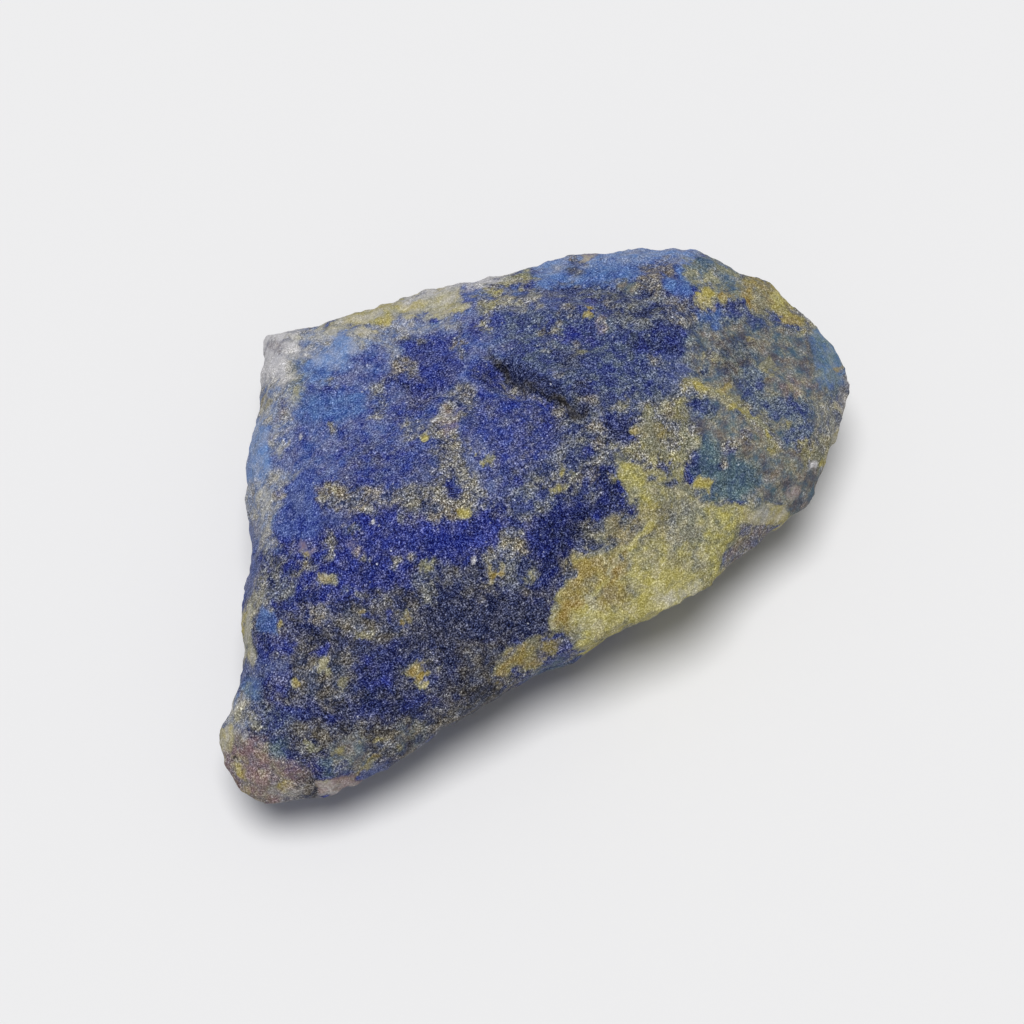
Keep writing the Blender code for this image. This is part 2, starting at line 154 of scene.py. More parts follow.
# Where each rock lies, painted in turn, each over the ones before. The places
# are steps of the view, x to the right and y down, 1024 of them to a side.
# A patch is (rock, strength, softness of its edge, its corners in order).
PATCHES = (
    # the broad ground: the hazy blue of the upper left is paler partly in its own colour and partly as
    # painted light, where that side faces the light and has a sheen
    ("hazy blue", 1.0, 30, (230, 330, 480, 270, 560, 330, 560, 500, 430, 520, 230, 500)),
    ("slate", 1.0, 34, (500, 300, 640, 290, 700, 300, 700, 420, 600, 430, 500, 360)),
    ("mottled", 0.85, 24, (560, 405, 700, 395, 700, 450, 620, 470, 600, 520, 520, 520, 500, 470,
     560, 440)),
    ("blue", 1.0, 20, (270, 470, 500, 505, 620, 500, 600, 560, 540, 620, 400, 640, 250, 560)),
    ("dark mottled", 0.9, 30, (240, 620, 380, 600, 560, 570, 560, 640, 420, 760, 240, 760)),
    ("grey", 0.9, 22, (690, 320, 760, 318, 812, 330, 845, 380, 848, 420, 800, 530, 740, 500,
     700, 430, 690, 380)),
    # the far left corner and the left edge
    ("pale haze", 0.9, 12, (250, 372, 292, 372, 298, 395, 288, 430, 268, 436, 248, 430)),
    ("cream", 0.9, 8, (250, 326, 305, 320, 312, 338, 304, 362, 296, 380, 264, 382, 250, 366)),
    ("lilac", 0.7, 9, (250, 328, 286, 326, 290, 340, 284, 356, 270, 362, 250, 360)),
    ("light cyan", 0.8, 12, (303, 345, 320, 330, 354, 326, 362, 346, 350, 364, 330, 366,
     322, 382, 308, 380)),
    ("royal blue", 0.8, 8, (304, 362, 326, 358, 330, 374, 318, 384, 304, 380)),
    ("green grey", 0.6, 8, (290, 355, 304, 355, 302, 402, 290, 402)),
    ("royal blue", 0.8, 8, (298, 394, 345, 392, 366, 396, 362, 412, 345, 414, 335, 422,
     316, 418, 300, 412)),
    # the sky and pale haze along the left edge are lighter partly in their own colour and partly as
    # painted light, where the edge slopes towards the light
    ("sky", 0.9, 8, (246, 425, 262, 418, 272, 436, 274, 476, 264, 486, 244, 486)),
    ("pale haze", 0.8, 7, (266, 470, 296, 464, 298, 480, 270, 486)),
    ("pale haze", 0.9, 8, (244, 484, 276, 482, 280, 500, 272, 540, 278, 552, 262, 556, 250, 535,
     244, 510)),
    ("violet blue", 0.8, 6, (240, 520, 258, 520, 262, 560, 256, 600, 240, 606)),
    ("light grey", 0.8, 7, (256, 580, 268, 578, 272, 596, 268, 612, 250, 612)),
    ("clear blue", 1.0, 6, (277, 485, 300, 470, 322, 478, 318, 492, 322, 505, 315, 520,
     320, 535, 312, 542, 295, 540, 282, 538, 273, 528, 278, 512, 280, 500)),
    ("violet blue", 0.5, 6, (284, 492, 300, 490, 304, 515, 286, 520)),
    # the far edge, left half
    ("cream crust", 0.9, 7, (316, 330, 345, 318, 365, 308, 385, 300, 420, 292, 462, 284,
     464, 312, 440, 315, 420, 313, 400, 317, 388, 323, 372, 326, 350, 327, 330, 332)),
    ("cream", 0.7, 5, (395, 300, 440, 286, 480, 278, 510, 270, 512, 278, 482, 286, 440, 292, 400, 303)),
    ("haze", 0.9, 8, (376, 322, 420, 316, 458, 316, 455, 326, 425, 330, 405, 350, 396, 372, 384, 350)),
    ("olive", 0.7, 6, (486, 284, 500, 280, 524, 276, 528, 282, 502, 290, 500, 312, 476, 314,
     476, 300, 490, 300)),
    ("brown", 0.6, 7, (500, 290, 536, 288, 536, 302, 502, 304)),
    ("ultramarine", 0.85, 9, (402, 346, 420, 334, 455, 328, 458, 350, 458, 375, 445, 395,
     430, 388, 410, 384, 384, 385, 384, 376, 402, 364)),
    ("blue", 0.85, 10, (384, 380, 440, 384, 438, 400, 426, 420, 400, 424, 386, 410)),
    ("brown", 0.8, 6, (390, 360, 404, 358, 420, 366, 418, 379, 404, 376, 392, 378)),
    ("beige", 0.85, 6, (370, 384, 384, 382, 388, 396, 382, 418, 374, 416, 376, 400, 368, 396)),
    # the sky-blue band of the far edge, paler partly in its own azure and partly as painted light where
    # the edge rolls over towards the light
    ("sky", 0.75, 8, (534, 262, 580, 250, 640, 244, 700, 250, 690, 262, 650, 262, 640, 280,
     600, 282, 560, 284, 536, 286)),
    ("royal blue", 0.9, 6, (580, 270, 645, 258, 652, 264, 640, 280, 612, 282, 606, 292,
     590, 294, 580, 284)),
    ("royal blue", 0.7, 6, (538, 276, 560, 272, 578, 280, 576, 288, 540, 288)),
    ("mottled", 0.85, 8, (536, 288, 584, 286, 622, 284, 640, 280, 662, 290, 664, 330, 612, 326,
     606, 300, 560, 300, 540, 302)),
    ("brown", 0.85, 5, (642, 264, 662, 260, 676, 268, 676, 275, 660, 277, 664, 292, 652, 298,
     640, 292, 640, 279, 648, 274)),
    ("royal blue", 1.0, 4, (664, 278, 678, 276, 672, 265, 686, 263, 689, 276, 689, 296,
     676, 298, 664, 292)),
    ("brown", 0.7, 7, (662, 300, 690, 298, 704, 304, 690, 322, 678, 330, 664, 318)),
    ("green grey", 0.9, 8, (684, 262, 712, 256, 738, 270, 746, 290, 738, 300, 720, 302,
     710, 290, 696, 284, 688, 276)),
    # the right-hand end
    ("ochre", 0.8, 7, (740, 280, 762, 278, 784, 288, 800, 316, 790, 324, 766, 314, 744, 310)),
    ("olive", 0.8, 6, (772, 272, 806, 300, 836, 330, 832, 340, 806, 326, 792, 308, 776, 292)),
    ("royal blue", 0.8, 4, (694, 310, 706, 309, 712, 318, 720, 312, 721, 326, 714, 330,
     708, 320, 696, 320)),
    ("olive", 0.6, 7, (700, 286, 716, 284, 718, 302, 706, 312, 698, 304)),
    ("dim", 0.45, 12, (714, 344, 735, 338, 754, 346, 756, 358, 742, 368, 745, 378, 735, 382,
     720, 372, 710, 360)),
    ("slate", 0.8, 6, (738, 376, 752, 364, 766, 372, 762, 386, 762, 398, 745, 396)),
    ("cyan", 1.0, 6, (806, 338, 816, 324, 832, 332, 848, 352, 852, 374, 838, 379, 825, 377, 815, 360)),
    ("teal", 0.5, 6, (806, 340, 818, 336, 828, 352, 824, 372, 812, 362)),
    ("slate", 0.8, 6, (826, 372, 850, 368, 850, 400, 836, 410, 828, 392)),
    ("slate", 0.9, 7, (744, 396, 770, 398, 790, 395, 808, 397, 816, 408, 800, 417, 775, 421,
     762, 412, 750, 405)),
    ("slate", 0.9, 6, (786, 422, 800, 418, 812, 424, 812, 444, 800, 450, 786, 440)),
    ("light grey", 0.8, 8, (818, 400, 846, 396, 846, 430, 832, 452, 816, 440)),
    ("frost", 0.75, 6, (838, 392, 842, 378, 862, 374, 862, 440, 846, 470, 834, 486, 828, 470,
     836, 440)),
    ("slate", 0.95, 5, (700, 396, 708, 398, 719, 412, 716, 421, 698, 421, 691, 412)),
    ("grey", 0.8, 8, (690, 420, 740, 416, 766, 440, 764, 462, 740, 458, 716, 440, 700, 438)),
    ("olive", 0.75, 8, (638, 405, 690, 400, 694, 420, 700, 440, 690, 462, 650, 462, 616, 460,
     612, 444, 636, 440)),
    ("teal", 1.0, 8, (696, 440, 716, 438, 720, 456, 736, 458, 762, 462, 762, 480, 754, 492,
     745, 500, 735, 502, 716, 500, 700, 498, 702, 484, 696, 465)),
    ("olive", 0.8, 6, (798, 440, 830, 436, 834, 470, 822, 476, 806, 470)),
    ("grey", 0.9, 7, (764, 470, 808, 474, 826, 470, 824, 500, 806, 518, 786, 520, 784, 504, 764, 498)),
    # navy and slate in the middle
    ("navy", 0.75, 8, (620, 338, 645, 335, 660, 324, 690, 324, 693, 340, 680, 354, 660, 352,
     640, 352, 624, 354)),
    ("violet blue", 0.45, 9, (664, 352, 690, 350, 690, 394, 668, 394)),
    ("dark navy", 1.0, 5, (570, 380, 592, 380, 594, 392, 584, 397, 570, 392)),
    ("navy", 0.85, 6, (600, 420, 625, 415, 641, 420, 641, 436, 615, 439, 602, 432)),
    ("blue", 0.9, 8, (465, 372, 490, 356, 500, 360, 508, 375, 505, 390, 490, 394, 475, 387)),
    ("blue", 0.7, 12, (470, 396, 545, 396, 566, 420, 560, 440, 520, 480, 486, 478, 480, 440, 462, 424)),
    ("navy", 0.5, 8, (536, 418, 560, 416, 562, 434, 540, 436)),
    # beige rock round the pink place, and the brown belt
    ("beige", 0.9, 8, (444, 396, 460, 386, 472, 396, 470, 414, 458, 426, 470, 440, 478, 470,
     486, 490, 500, 508, 484, 512, 466, 522, 440, 516, 405, 500, 400, 490, 432, 490, 430, 440,
     424, 428, 438, 414)),
    ("brown", 0.85, 6, (314, 486, 340, 482, 380, 484, 382, 500, 364, 516, 344, 514, 334, 512,
     316, 504)),
    ("brown", 0.8, 7, (380, 486, 405, 488, 444, 500, 466, 508, 460, 522, 430, 524, 406, 508, 384, 502)),
    ("blue", 0.9, 5, (444, 482, 460, 482, 462, 498, 448, 500)),
    # cleanest ultramarine
    ("ultramarine", 1.0, 6, (395, 546, 384, 530, 400, 520, 424, 528, 446, 522, 470, 522,
     482, 512, 493, 515, 493, 528, 501, 540, 501, 556, 490, 550, 475, 545, 462, 555, 476, 572,
     455, 572, 440, 562, 420, 560, 400, 562)),
    ("ultramarine", 0.9, 7, (322, 508, 345, 516, 380, 508, 396, 520, 386, 560, 396, 572,
     408, 600, 396, 604, 376, 584, 350, 584, 342, 600, 320, 598, 318, 560, 330, 540)),
    ("beige", 0.8, 7, (520, 486, 548, 478, 566, 466, 600, 462, 602, 476, 580, 482, 560, 494,
     546, 512, 522, 524, 510, 516)),
    ("beige", 0.95, 5, (500, 531, 510, 528, 524, 536, 526, 556, 518, 562, 502, 560, 498, 552,
     504, 544)),
    ("mottled", 0.9, 7, (480, 552, 500, 556, 530, 562, 536, 590, 510, 602, 470, 600, 420, 602,
     412, 580, 430, 562, 462, 574)),
    ("navy", 0.9, 7, (540, 516, 560, 509, 585, 505, 600, 502, 603, 512, 592, 526, 580, 541,
     563, 546, 556, 562, 546, 600, 528, 600, 536, 570, 524, 546, 535, 530)),
    ("navy", 0.95, 5, (597, 470, 613, 467, 619, 485, 627, 492, 637, 500, 630, 513, 610, 519,
     600, 510, 604, 495)),
    # the yellow crust
    ("crust", 1.0, 5, (619, 465, 615, 480, 625, 493, 639, 502, 634, 515, 608, 522, 594, 534,
     578, 548, 567, 560, 563, 580, 557, 600, 549, 613, 549, 628, 562, 636, 572, 652, 592, 652,
     610, 646, 700, 610, 730, 580, 728, 550, 742, 545, 748, 532, 774, 534, 790, 520, 787, 506,
     770, 500, 745, 504, 700, 498, 694, 480, 680, 464, 655, 462, 640, 460)),
    ("dark crust", 0.7, 7, (592, 524, 632, 512, 640, 530, 622, 548, 600, 552, 584, 546)),
    ("grey crust", 0.6, 10, (575, 545, 600, 524, 640, 512, 660, 500, 690, 505, 690, 535,
     650, 545, 612, 548, 590, 556)),
    ("mottled", 0.45, 8, (645, 474, 668, 464, 692, 468, 690, 480, 662, 480)),
    ("ochre", 0.85, 7, (564, 586, 568, 562, 582, 560, 604, 556, 622, 548, 630, 558, 626, 576,
     606, 586, 590, 596, 588, 612, 576, 628, 566, 637, 556, 628, 558, 608)),
    ("orange", 0.6, 6, (558, 604, 576, 596, 590, 598, 578, 612, 572, 630, 560, 626)),
    ("orange", 0.55, 5, (600, 574, 616, 560, 630, 556, 628, 574, 612, 580)),
    ("lemon", 0.85, 7, (612, 466, 640, 466, 652, 482, 648, 500, 632, 504, 616, 484)),
    ("lemon", 0.7, 7, (704, 510, 732, 506, 734, 530, 726, 570, 708, 582, 700, 556, 708, 532)),
    ("pale crust", 0.9, 8, (572, 608, 600, 606, 622, 612, 622, 634, 590, 638, 570, 630)),
    ("pale crust", 0.8, 10, (630, 575, 660, 570, 700, 575, 700, 596, 676, 624, 640, 626,
     624, 612, 640, 600)),
    ("pink crust", 0.85, 8, (650, 590, 698, 582, 698, 600, 668, 614)),
    ("grey", 0.75, 5, (600, 588, 618, 588, 620, 602, 602, 602)),
    ("cream crust", 0.9, 5, (744, 509, 760, 506, 772, 502, 787, 508, 787, 520, 772, 530,
     755, 528, 748, 520)),
    ("green grey", 0.6, 6, (748, 500, 770, 498, 770, 510, 752, 512)),
    # the near right side face: grey rock, darkened by its shade share as painted shade where the side
    # turns from the light
    ("side grey", 0.95, 4, (736, 526, 770, 528, 770, 548, 740, 566, 722, 580, 722, 562,
     727, 549, 741, 541)),
    # the near left part
    ("royal blue", 0.9, 3, (257, 612, 274, 611, 275, 632, 257, 632)),
    ("cream crust", 0.8, 6, (238, 612, 250, 612, 250, 664, 238, 668)),
    ("blue", 0.75, 8, (254, 634, 300, 632, 296, 656, 256, 656)),
    ("violet blue", 0.7, 8, (246, 655, 292, 656, 290, 676, 244, 676)),
    ("cyan", 0.55, 8, (244, 678, 262, 676, 264, 700, 246, 702)),
    ("blue", 0.85, 8, (262, 674, 292, 672, 292, 702, 310, 706, 306, 716, 266, 700)),
    ("pale haze", 0.95, 6, (224, 692, 246, 690, 248, 728, 222, 730)),
    ("slate", 0.8, 10, (258, 702, 310, 712, 310, 736, 262, 732)),
    ("dark beige", 0.9, 6, (340, 606, 360, 602, 382, 606, 400, 620, 404, 636, 372, 642, 344, 636)),
    ("dark beige", 0.9, 7, (296, 656, 314, 640, 306, 660, 332, 656, 350, 656, 360, 672,
     348, 690, 336, 710, 320, 706, 300, 694)),
    ("brown", 0.85, 5, (312, 600, 328, 598, 330, 622, 320, 628, 312, 614)),
    ("ultramarine", 1.0, 3, (308, 654, 316, 646, 328, 648, 330, 656, 318, 660)),
    ("navy", 0.85, 8, (345, 640, 400, 640, 404, 660, 392, 692, 364, 694, 352, 676, 362, 664)),
    ("navy", 0.8, 12, (305, 704, 360, 696, 420, 692, 420, 716, 360, 728, 310, 722)),
    ("dark grey", 0.8, 12, (290, 724, 380, 724, 440, 712, 480, 690, 508, 680, 500, 706,
     440, 742, 400, 770, 370, 760, 296, 748)),
    ("dark navy", 0.9, 10, (420, 600, 470, 592, 550, 584, 548, 640, 500, 640, 462, 645,
     460, 690, 444, 690, 438, 646, 418, 640)),
    ("umber grey", 0.7, 9, (462, 640, 500, 638, 500, 690, 470, 700, 452, 690)),
    ("ochre", 0.7, 7, (500, 652, 520, 644, 545, 638, 566, 636, 560, 650, 545, 656, 537, 667,
     515, 676, 498, 688, 496, 674)),
    ("orange", 0.7, 5, (504, 668, 520, 652, 532, 650, 534, 664, 518, 668, 506, 676)),
    ("teal", 0.6, 6, (520, 680, 535, 672, 550, 660, 572, 655, 590, 655, 560, 676, 525, 695)),
    # the near tip
    ("mauve", 1.0, 9, (228, 730, 262, 744, 272, 760, 300, 764, 312, 776, 304, 800, 255, 804,
     230, 786, 214, 750)),
    ("cream crust", 0.8, 6, (214, 745, 220, 730, 232, 722, 236, 730, 232, 758, 220, 758)),
    ("teal", 0.6, 7, (268, 744, 286, 740, 294, 756, 280, 764)),
    ("teal", 0.6, 5, (318, 760, 332, 758, 332, 772, 320, 772)),
    ("dark grey", 0.8, 6, (296, 772, 320, 776, 320, 804, 290, 804)),
    ("pink cream", 1.0, 3, (319, 781, 335, 776, 356, 773, 359, 785, 350, 791, 335, 797, 320, 797)),
    ("violet blue", 0.95, 5, (362, 772, 378, 764, 404, 760, 440, 734, 446, 748, 404, 786, 364, 794)),
    # smaller places laid over the rest
    ("blue", 0.65, 16, (346, 440, 430, 442, 432, 486, 350, 486)),
    ("dull blue", 0.45, 8, (456, 464, 484, 464, 484, 492, 456, 492)),
    ("mottled", 0.7, 8, (400, 488, 428, 490, 426, 514, 402, 512)),
    ("dark mottled", 0.8, 8, (430, 562, 480, 560, 504, 572, 500, 600, 440, 600)),
    ("slate", 0.7, 8, (516, 488, 562, 486, 562, 510, 516, 514)),
    ("hazy blue", 0.8, 6, (384, 386, 406, 386, 406, 410, 384, 410)),
    ("pale haze", 0.9, 7, (350, 326, 384, 322, 386, 346, 356, 350)),
    ("pale haze", 0.9, 7, (300, 330, 328, 326, 328, 346, 302, 350)),
    ("light grey", 0.65, 7, (498, 288, 542, 286, 540, 308, 498, 312)),
    ("hazy blue", 0.6, 6, (540, 290, 562, 290, 562, 310, 540, 310)),
    ("dark slate", 0.7, 8, (554, 348, 586, 348, 586, 374, 554, 374)),
    ("dark slate", 0.7, 8, (574, 388, 606, 388, 606, 410, 576, 410)),
    ("violet blue", 0.6, 8, (316, 508, 344, 508, 344, 534, 318, 532)),
    ("dark mottled", 0.8, 8, (376, 584, 422, 590, 422, 628, 376, 628)),
    ("grey", 0.6, 8, (396, 724, 426, 722, 426, 750, 396, 754)),
    ("grey", 0.85, 7, (328, 748, 368, 740, 370, 768, 332, 774)),
    ("cyan", 0.7, 7, (814, 364, 846, 364, 846, 388, 818, 388)),
    ("ochre", 0.6, 7, (594, 584, 630, 582, 626, 606, 598, 610)),
    ("dark mottled", 0.75, 7, (574, 526, 602, 524, 604, 544, 586, 556, 572, 552)),
    ("dark beige", 0.7, 6, (556, 552, 578, 550, 576, 572, 558, 574)),
    ("dull cream", 0.6, 6, (272, 786, 304, 788, 306, 806, 276, 806)),
)

# A spot is (rock, strength, x, y, half its width, half its height).
SPOTS = (
    ("crust", 0.45, 292, 342, 12, 8), ("mauve", 0.35, 273, 350, 8, 12),
    ("ochre", 0.6, 266, 400, 5, 7), ("sky", 0.6, 276, 384, 5, 4),
    ("beige", 0.6, 327, 380, 9, 5), ("pink beige", 0.6, 281, 412, 5, 13),
    ("ultramarine", 0.8, 327, 390, 8, 6), ("beige", 0.7, 340, 426, 5, 6),
    ("cream", 0.8, 301, 436, 4, 2.5), ("pale haze", 0.9, 278, 446, 6, 6),
    ("yellow", 1.0, 381, 318, 8, 5), ("cream crust", 0.8, 366, 335, 8, 8),
    ("cream crust", 0.8, 420, 304, 11, 4), ("cream crust", 0.8, 443, 299, 11, 4),
    ("royal blue", 0.6, 478, 293, 14, 6), ("cream", 0.9, 488, 281, 10, 3),
    ("beige", 0.7, 413, 340, 15, 4), ("brown", 0.7, 458, 333, 4, 13),
    ("brown", 0.8, 465, 353, 3, 12), ("olive", 0.7, 488, 325, 9, 6),
    ("royal blue", 0.7, 512, 287, 13, 4), ("ultramarine", 0.9, 436, 314, 5, 4),
    ("ultramarine", 0.8, 475, 332, 9, 7), ("beige", 0.7, 412, 430, 16, 8),
    ("yellow", 0.8, 426, 435, 4, 5), ("pink beige", 1.0, 450, 424, 8, 13),
    ("brown", 0.8, 459, 398, 8, 8), ("green grey", 0.7, 522, 274, 10, 4),
    ("dark grey", 0.7, 570, 271, 10, 7), ("pink cream", 0.5, 585, 258, 14, 3),
    ("ultramarine", 1.0, 593, 305, 5.5, 8), ("brown", 0.8, 570, 312, 10, 8),
    ("orange", 0.9, 586, 315, 5, 5), ("brown", 0.8, 606, 308, 6, 8),
    ("beige", 0.8, 551, 334, 10, 11), ("ultramarine", 1.0, 572, 334, 9, 8),
    ("ultramarine", 1.0, 587, 340, 5, 10), ("pink beige", 0.8, 598, 326, 6, 9),
    ("brown", 0.8, 575, 346, 6, 6), ("olive", 0.7, 580, 352, 6, 4),
    ("navy", 0.6, 526, 368, 6, 9), ("light beige", 0.7, 514, 371, 4, 4),
    ("light beige", 0.6, 550, 375, 4, 4), ("light beige", 0.7, 513, 391, 8, 7),
    ("light beige", 0.9, 560, 411, 6, 5), ("light beige", 0.5, 588, 398, 12, 4),
    # the dim spot at the crack's lower end is painted shade
    ("olive", 0.8, 617, 405, 8, 5), ("dim", 0.6, 583, 412, 14, 6),
    ("brown", 0.8, 597, 428, 7, 12), ("ochre", 0.6, 650, 428, 12, 8),
    ("ochre", 0.5, 636, 430, 5, 5), ("brown", 0.8, 670, 412, 8, 6),
    ("grey", 0.9, 630, 285, 9, 5), ("beige", 0.8, 656, 363, 8, 6),
    ("teal", 0.7, 704, 264, 8, 5), ("teal", 0.7, 728, 290, 7, 9),
    ("yellow", 0.9, 706, 293, 8, 7), ("yellow", 0.7, 702, 301, 5, 4),
    ("orange", 0.8, 725, 302, 6, 6), ("orange", 0.9, 746, 300, 5, 8),
    ("ochre", 0.8, 748, 284, 6, 5), ("green grey", 0.5, 762, 292, 9, 8),
    ("pale crust", 0.9, 780, 298, 6, 6), ("yellow", 0.6, 782, 312, 8, 6),
    ("olive", 0.8, 795, 332, 5, 4), ("ochre", 0.6, 750, 338, 6, 3),
    ("pink cream", 0.8, 713, 311, 3, 4), ("olive", 0.8, 707, 356, 8, 6),
    ("navy", 0.9, 706, 372, 4, 4), ("yellow", 0.7, 768, 366, 8, 7),
    ("orange", 0.5, 841, 367, 4, 4),
    ("yellow", 0.8, 788, 423, 5, 4), ("mauve", 0.4, 796, 385, 14, 10),
    ("yellow", 1.0, 708, 482, 8, 7), ("light beige", 0.9, 728, 441, 8, 6),
    ("light beige", 0.9, 724, 464, 5, 5), ("yellow", 0.8, 774, 450, 6, 5),
    ("light beige", 0.8, 747, 433, 8, 6), ("yellow", 0.8, 824, 463, 6, 5),
    ("cream", 0.9, 815, 469, 3.5, 5), ("pink cream", 0.8, 795, 492, 5, 7),
    ("cream crust", 0.9, 838, 440, 6, 12), ("pink beige", 0.7, 274, 495, 4, 6),
    ("red", 0.95, 303, 550, 7, 7), ("ochre", 0.8, 304, 558, 5, 3),
    ("beige", 0.9, 326, 504, 9, 7), ("pink beige", 0.7, 324, 489, 7, 4),
    ("yellow", 0.6, 335, 489, 4, 4), ("beige", 0.85, 372, 510, 8, 7),
    ("cream", 1.0, 370, 526, 2.5, 2.5), ("brown", 0.9, 351, 533, 9, 4.5),
    ("beige", 0.8, 400, 521, 3, 6), ("beige", 0.7, 329, 547, 6, 8),
    ("pink beige", 0.9, 351, 549, 8, 5), ("beige", 0.8, 364, 555, 5, 3),
    ("beige", 0.8, 395, 561, 6, 5), ("brown", 0.8, 412, 561, 7, 4),
    ("ochre", 0.8, 332, 577, 8, 6), ("ochre", 0.9, 332, 576, 3, 3),
    ("mottled", 0.8, 282, 588, 16, 14), ("mottled", 0.6, 275, 560, 14, 10),
    ("yellow", 0.8, 487, 457, 4, 7), ("yellow", 0.9, 466, 515, 5, 5),
    ("pink beige", 0.6, 526, 452, 5, 4), ("cream", 0.5, 505, 460, 5, 2.5),
    ("ultramarine", 0.9, 509, 487, 8, 7), ("navy", 0.9, 571, 490, 7, 5),
    ("blue", 0.8, 587, 451, 5, 5), ("yellow", 0.8, 568, 471, 6, 5),
    ("olive", 0.7, 555, 487, 8, 4), ("light beige", 0.7, 597, 446, 7, 5),
    ("beige", 0.5, 488, 557, 6, 5), ("ochre", 0.8, 490, 572, 9, 8),
    ("ultramarine", 1.0, 490, 538, 14, 9), ("light beige", 0.9, 590, 480, 12, 9),
    ("light grey", 1.0, 246, 716, 11, 13),
    ("orange", 0.8, 497, 572, 4, 4), ("yellow", 0.5, 531, 580, 8, 6),
    ("cream", 1.0, 472, 558, 2.5, 2.5), ("yellow", 0.6, 427, 566, 4, 5),
    ("black", 0.8, 622, 563, 3, 2.5), ("black", 0.35, 611, 575, 5, 3),
    ("pale crust", 0.9, 582, 645, 9, 5), ("pale crust", 0.9, 589, 633, 10, 4),
    ("ochre", 0.7, 281, 622, 4, 6), ("ultramarine", 1.0, 391, 612, 6, 6),
    ("navy", 0.9, 372, 616, 7, 4), ("ochre", 0.8, 364, 612, 4, 4),
    ("olive", 0.8, 366, 631, 6, 4), ("orange", 0.7, 405, 619, 6, 8),
    ("yellow", 0.8, 322, 664, 9, 5), ("ochre", 0.7, 299, 685, 5, 5),
    ("ochre", 0.7, 341, 686, 5, 5), ("dark beige", 0.8, 328, 702, 8, 7),
    ("ultramarine", 0.85, 369, 665, 8, 8), ("ultramarine", 0.7, 384, 681, 8, 6),
    ("ochre", 0.5, 421, 667, 13, 8), ("orange", 0.6, 418, 668, 6, 8),
    ("yellow", 0.8, 424, 686, 5, 5), ("pink beige", 0.7, 436, 674, 4, 4),
    ("blue", 0.5, 420, 700, 24, 6), ("mottled", 0.7, 436, 590, 12, 10),
    ("dark beige", 0.5, 478, 602, 6, 5), ("dark beige", 0.6, 532, 596, 8, 6),
    ("dark beige", 0.6, 487, 588, 8, 6), ("light beige", 0.8, 526, 676, 6, 3),
    ("light beige", 0.7, 569, 656, 4, 4), ("brown", 0.8, 506, 684, 8, 5),
    ("dark beige", 0.6, 472, 654, 8, 6), ("ochre", 0.6, 289, 776, 9, 6),
    ("ochre", 0.6, 245, 778, 5, 8), ("cream", 0.4, 240, 733, 9, 6),
    # the black spot is painted shade in a small pit
    ("black", 0.9, 238, 765, 3, 2), ("yellow", 0.8, 239, 774, 3, 4),
    ("light beige", 0.6, 340, 766, 8, 5), ("yellow", 0.7, 335, 752, 6, 4),
    ("olive", 0.7, 308, 748, 9, 3), ("olive", 0.7, 378, 744, 18, 6),
)

# A vein is (rock, strength, width, the points that it runs through).
VEINS = (
    ("olive", 0.9, 13, (688, 388, 702, 391, 718, 394, 732, 401, 747, 409, 758, 419, 768, 430,
     780, 448)),
    ("yellow", 0.7, 6, (698, 389, 714, 391, 728, 397)),
    ("ochre", 0.7, 6, (724, 394, 730, 385)),
    ("yellow", 0.7, 5, (736, 404, 752, 411, 764, 424, 772, 434)),
    ("dim", 0.5, 2.2, (350, 325, 361, 326, 373, 322)),
    # two creases darkened with navy: painted shade in them
    ("navy", 0.9, 3.0, (470, 378, 483, 383, 491, 389)),
    ("navy", 0.9, 3.0, (385, 384, 400, 381, 410, 386)),
    # the crack and the ledge wall above it, darkened: painted shade, where the wall faces away from the
    # light and the crack lies in shadow
    ("wall", 1.0, 18, (510, 362, 522, 372, 534, 381, 552, 390)),
    ("umber grey", 0.9, 8, (552, 399, 564, 406, 574, 411, 584, 416)),
    ("dim", 0.5, 10, (492, 356, 501, 363, 509, 372, 518, 382, 530, 389)),
    ("black", 0.6, 3, (494, 357, 501, 363, 508, 372, 517, 381)),
    ("dim", 0.4, 9, (530, 389, 540, 393, 550, 399, 564, 408, 578, 415)),
    ("black", 0.35, 3, (514, 379, 524, 386, 536, 391, 546, 397)),
    ("light beige", 0.55, 4, (506, 382, 518, 391, 530, 397, 542, 405, 554, 414)),
    # a crease darkened: painted shade
    ("dim", 0.6, 5, (302, 632, 318, 636, 337, 647)),
    ("pale crust", 0.8, 5, (586, 606, 596, 592, 608, 574, 622, 556, 638, 540, 652, 524)),
    ("beige", 0.8, 5, (293, 575, 304, 568, 316, 562)),
    ("beige", 0.6, 5, (343, 592, 352, 585, 362, 594, 378, 596)),
    ("beige", 0.45, 5, (378, 586, 390, 596, 400, 607, 404, 618)),
    ("ochre", 0.85, 5, (376, 755, 367, 766, 358, 775)),
    ("cream", 0.6, 2, (320, 797, 340, 794, 357, 789)),
    ("cream", 0.7, 2, (441, 728, 459, 722)),
    ("dark grey", 0.6, 8, (412, 742, 452, 716, 500, 694)),
    ("cream", 0.6, 2.5, (430, 424, 440, 420, 446, 412)),
)

# How the places meet. Lengths are steps of the view unless they hold MM.
EDGE_BENDS = (              # (size of a bend in an edge, its reach, seed)
    (2.6 * MM, 5.0, 41), (0.9 * MM, 3.4, 43), (0.4 * MM, 1.6, 45),
)
EDGE_SPREAD = 0.8           # a patch's edge, as a share of its own softness
SPOT_EDGE = (1.5, 0.4)      # where a spot starts and where it is full, in its own radii
SPOT_GRIT = 0.7             # how far grains break a spot's edge, in its own radii
SPOT_GRAIN = 0.55 * MM      # size of those grains
VEIN_EDGE = (0.8, 0.22)     # a vein's softness: a plain part and a share of its width
OUTLINE_STEP = 4.0          # next to the outline a place is read this much further in
OUTLINE_BAND = (0.28, 0.02) # how squarely the stone faces the view where that starts and ends
SEEN_BAND = (-0.42, -0.22)  # the same, where the places of the view give way to the rest
SEEN_WANDER = 0.22          # how far that border wanders
SEEN_BEND = 2.6 * MM        # size of its bends

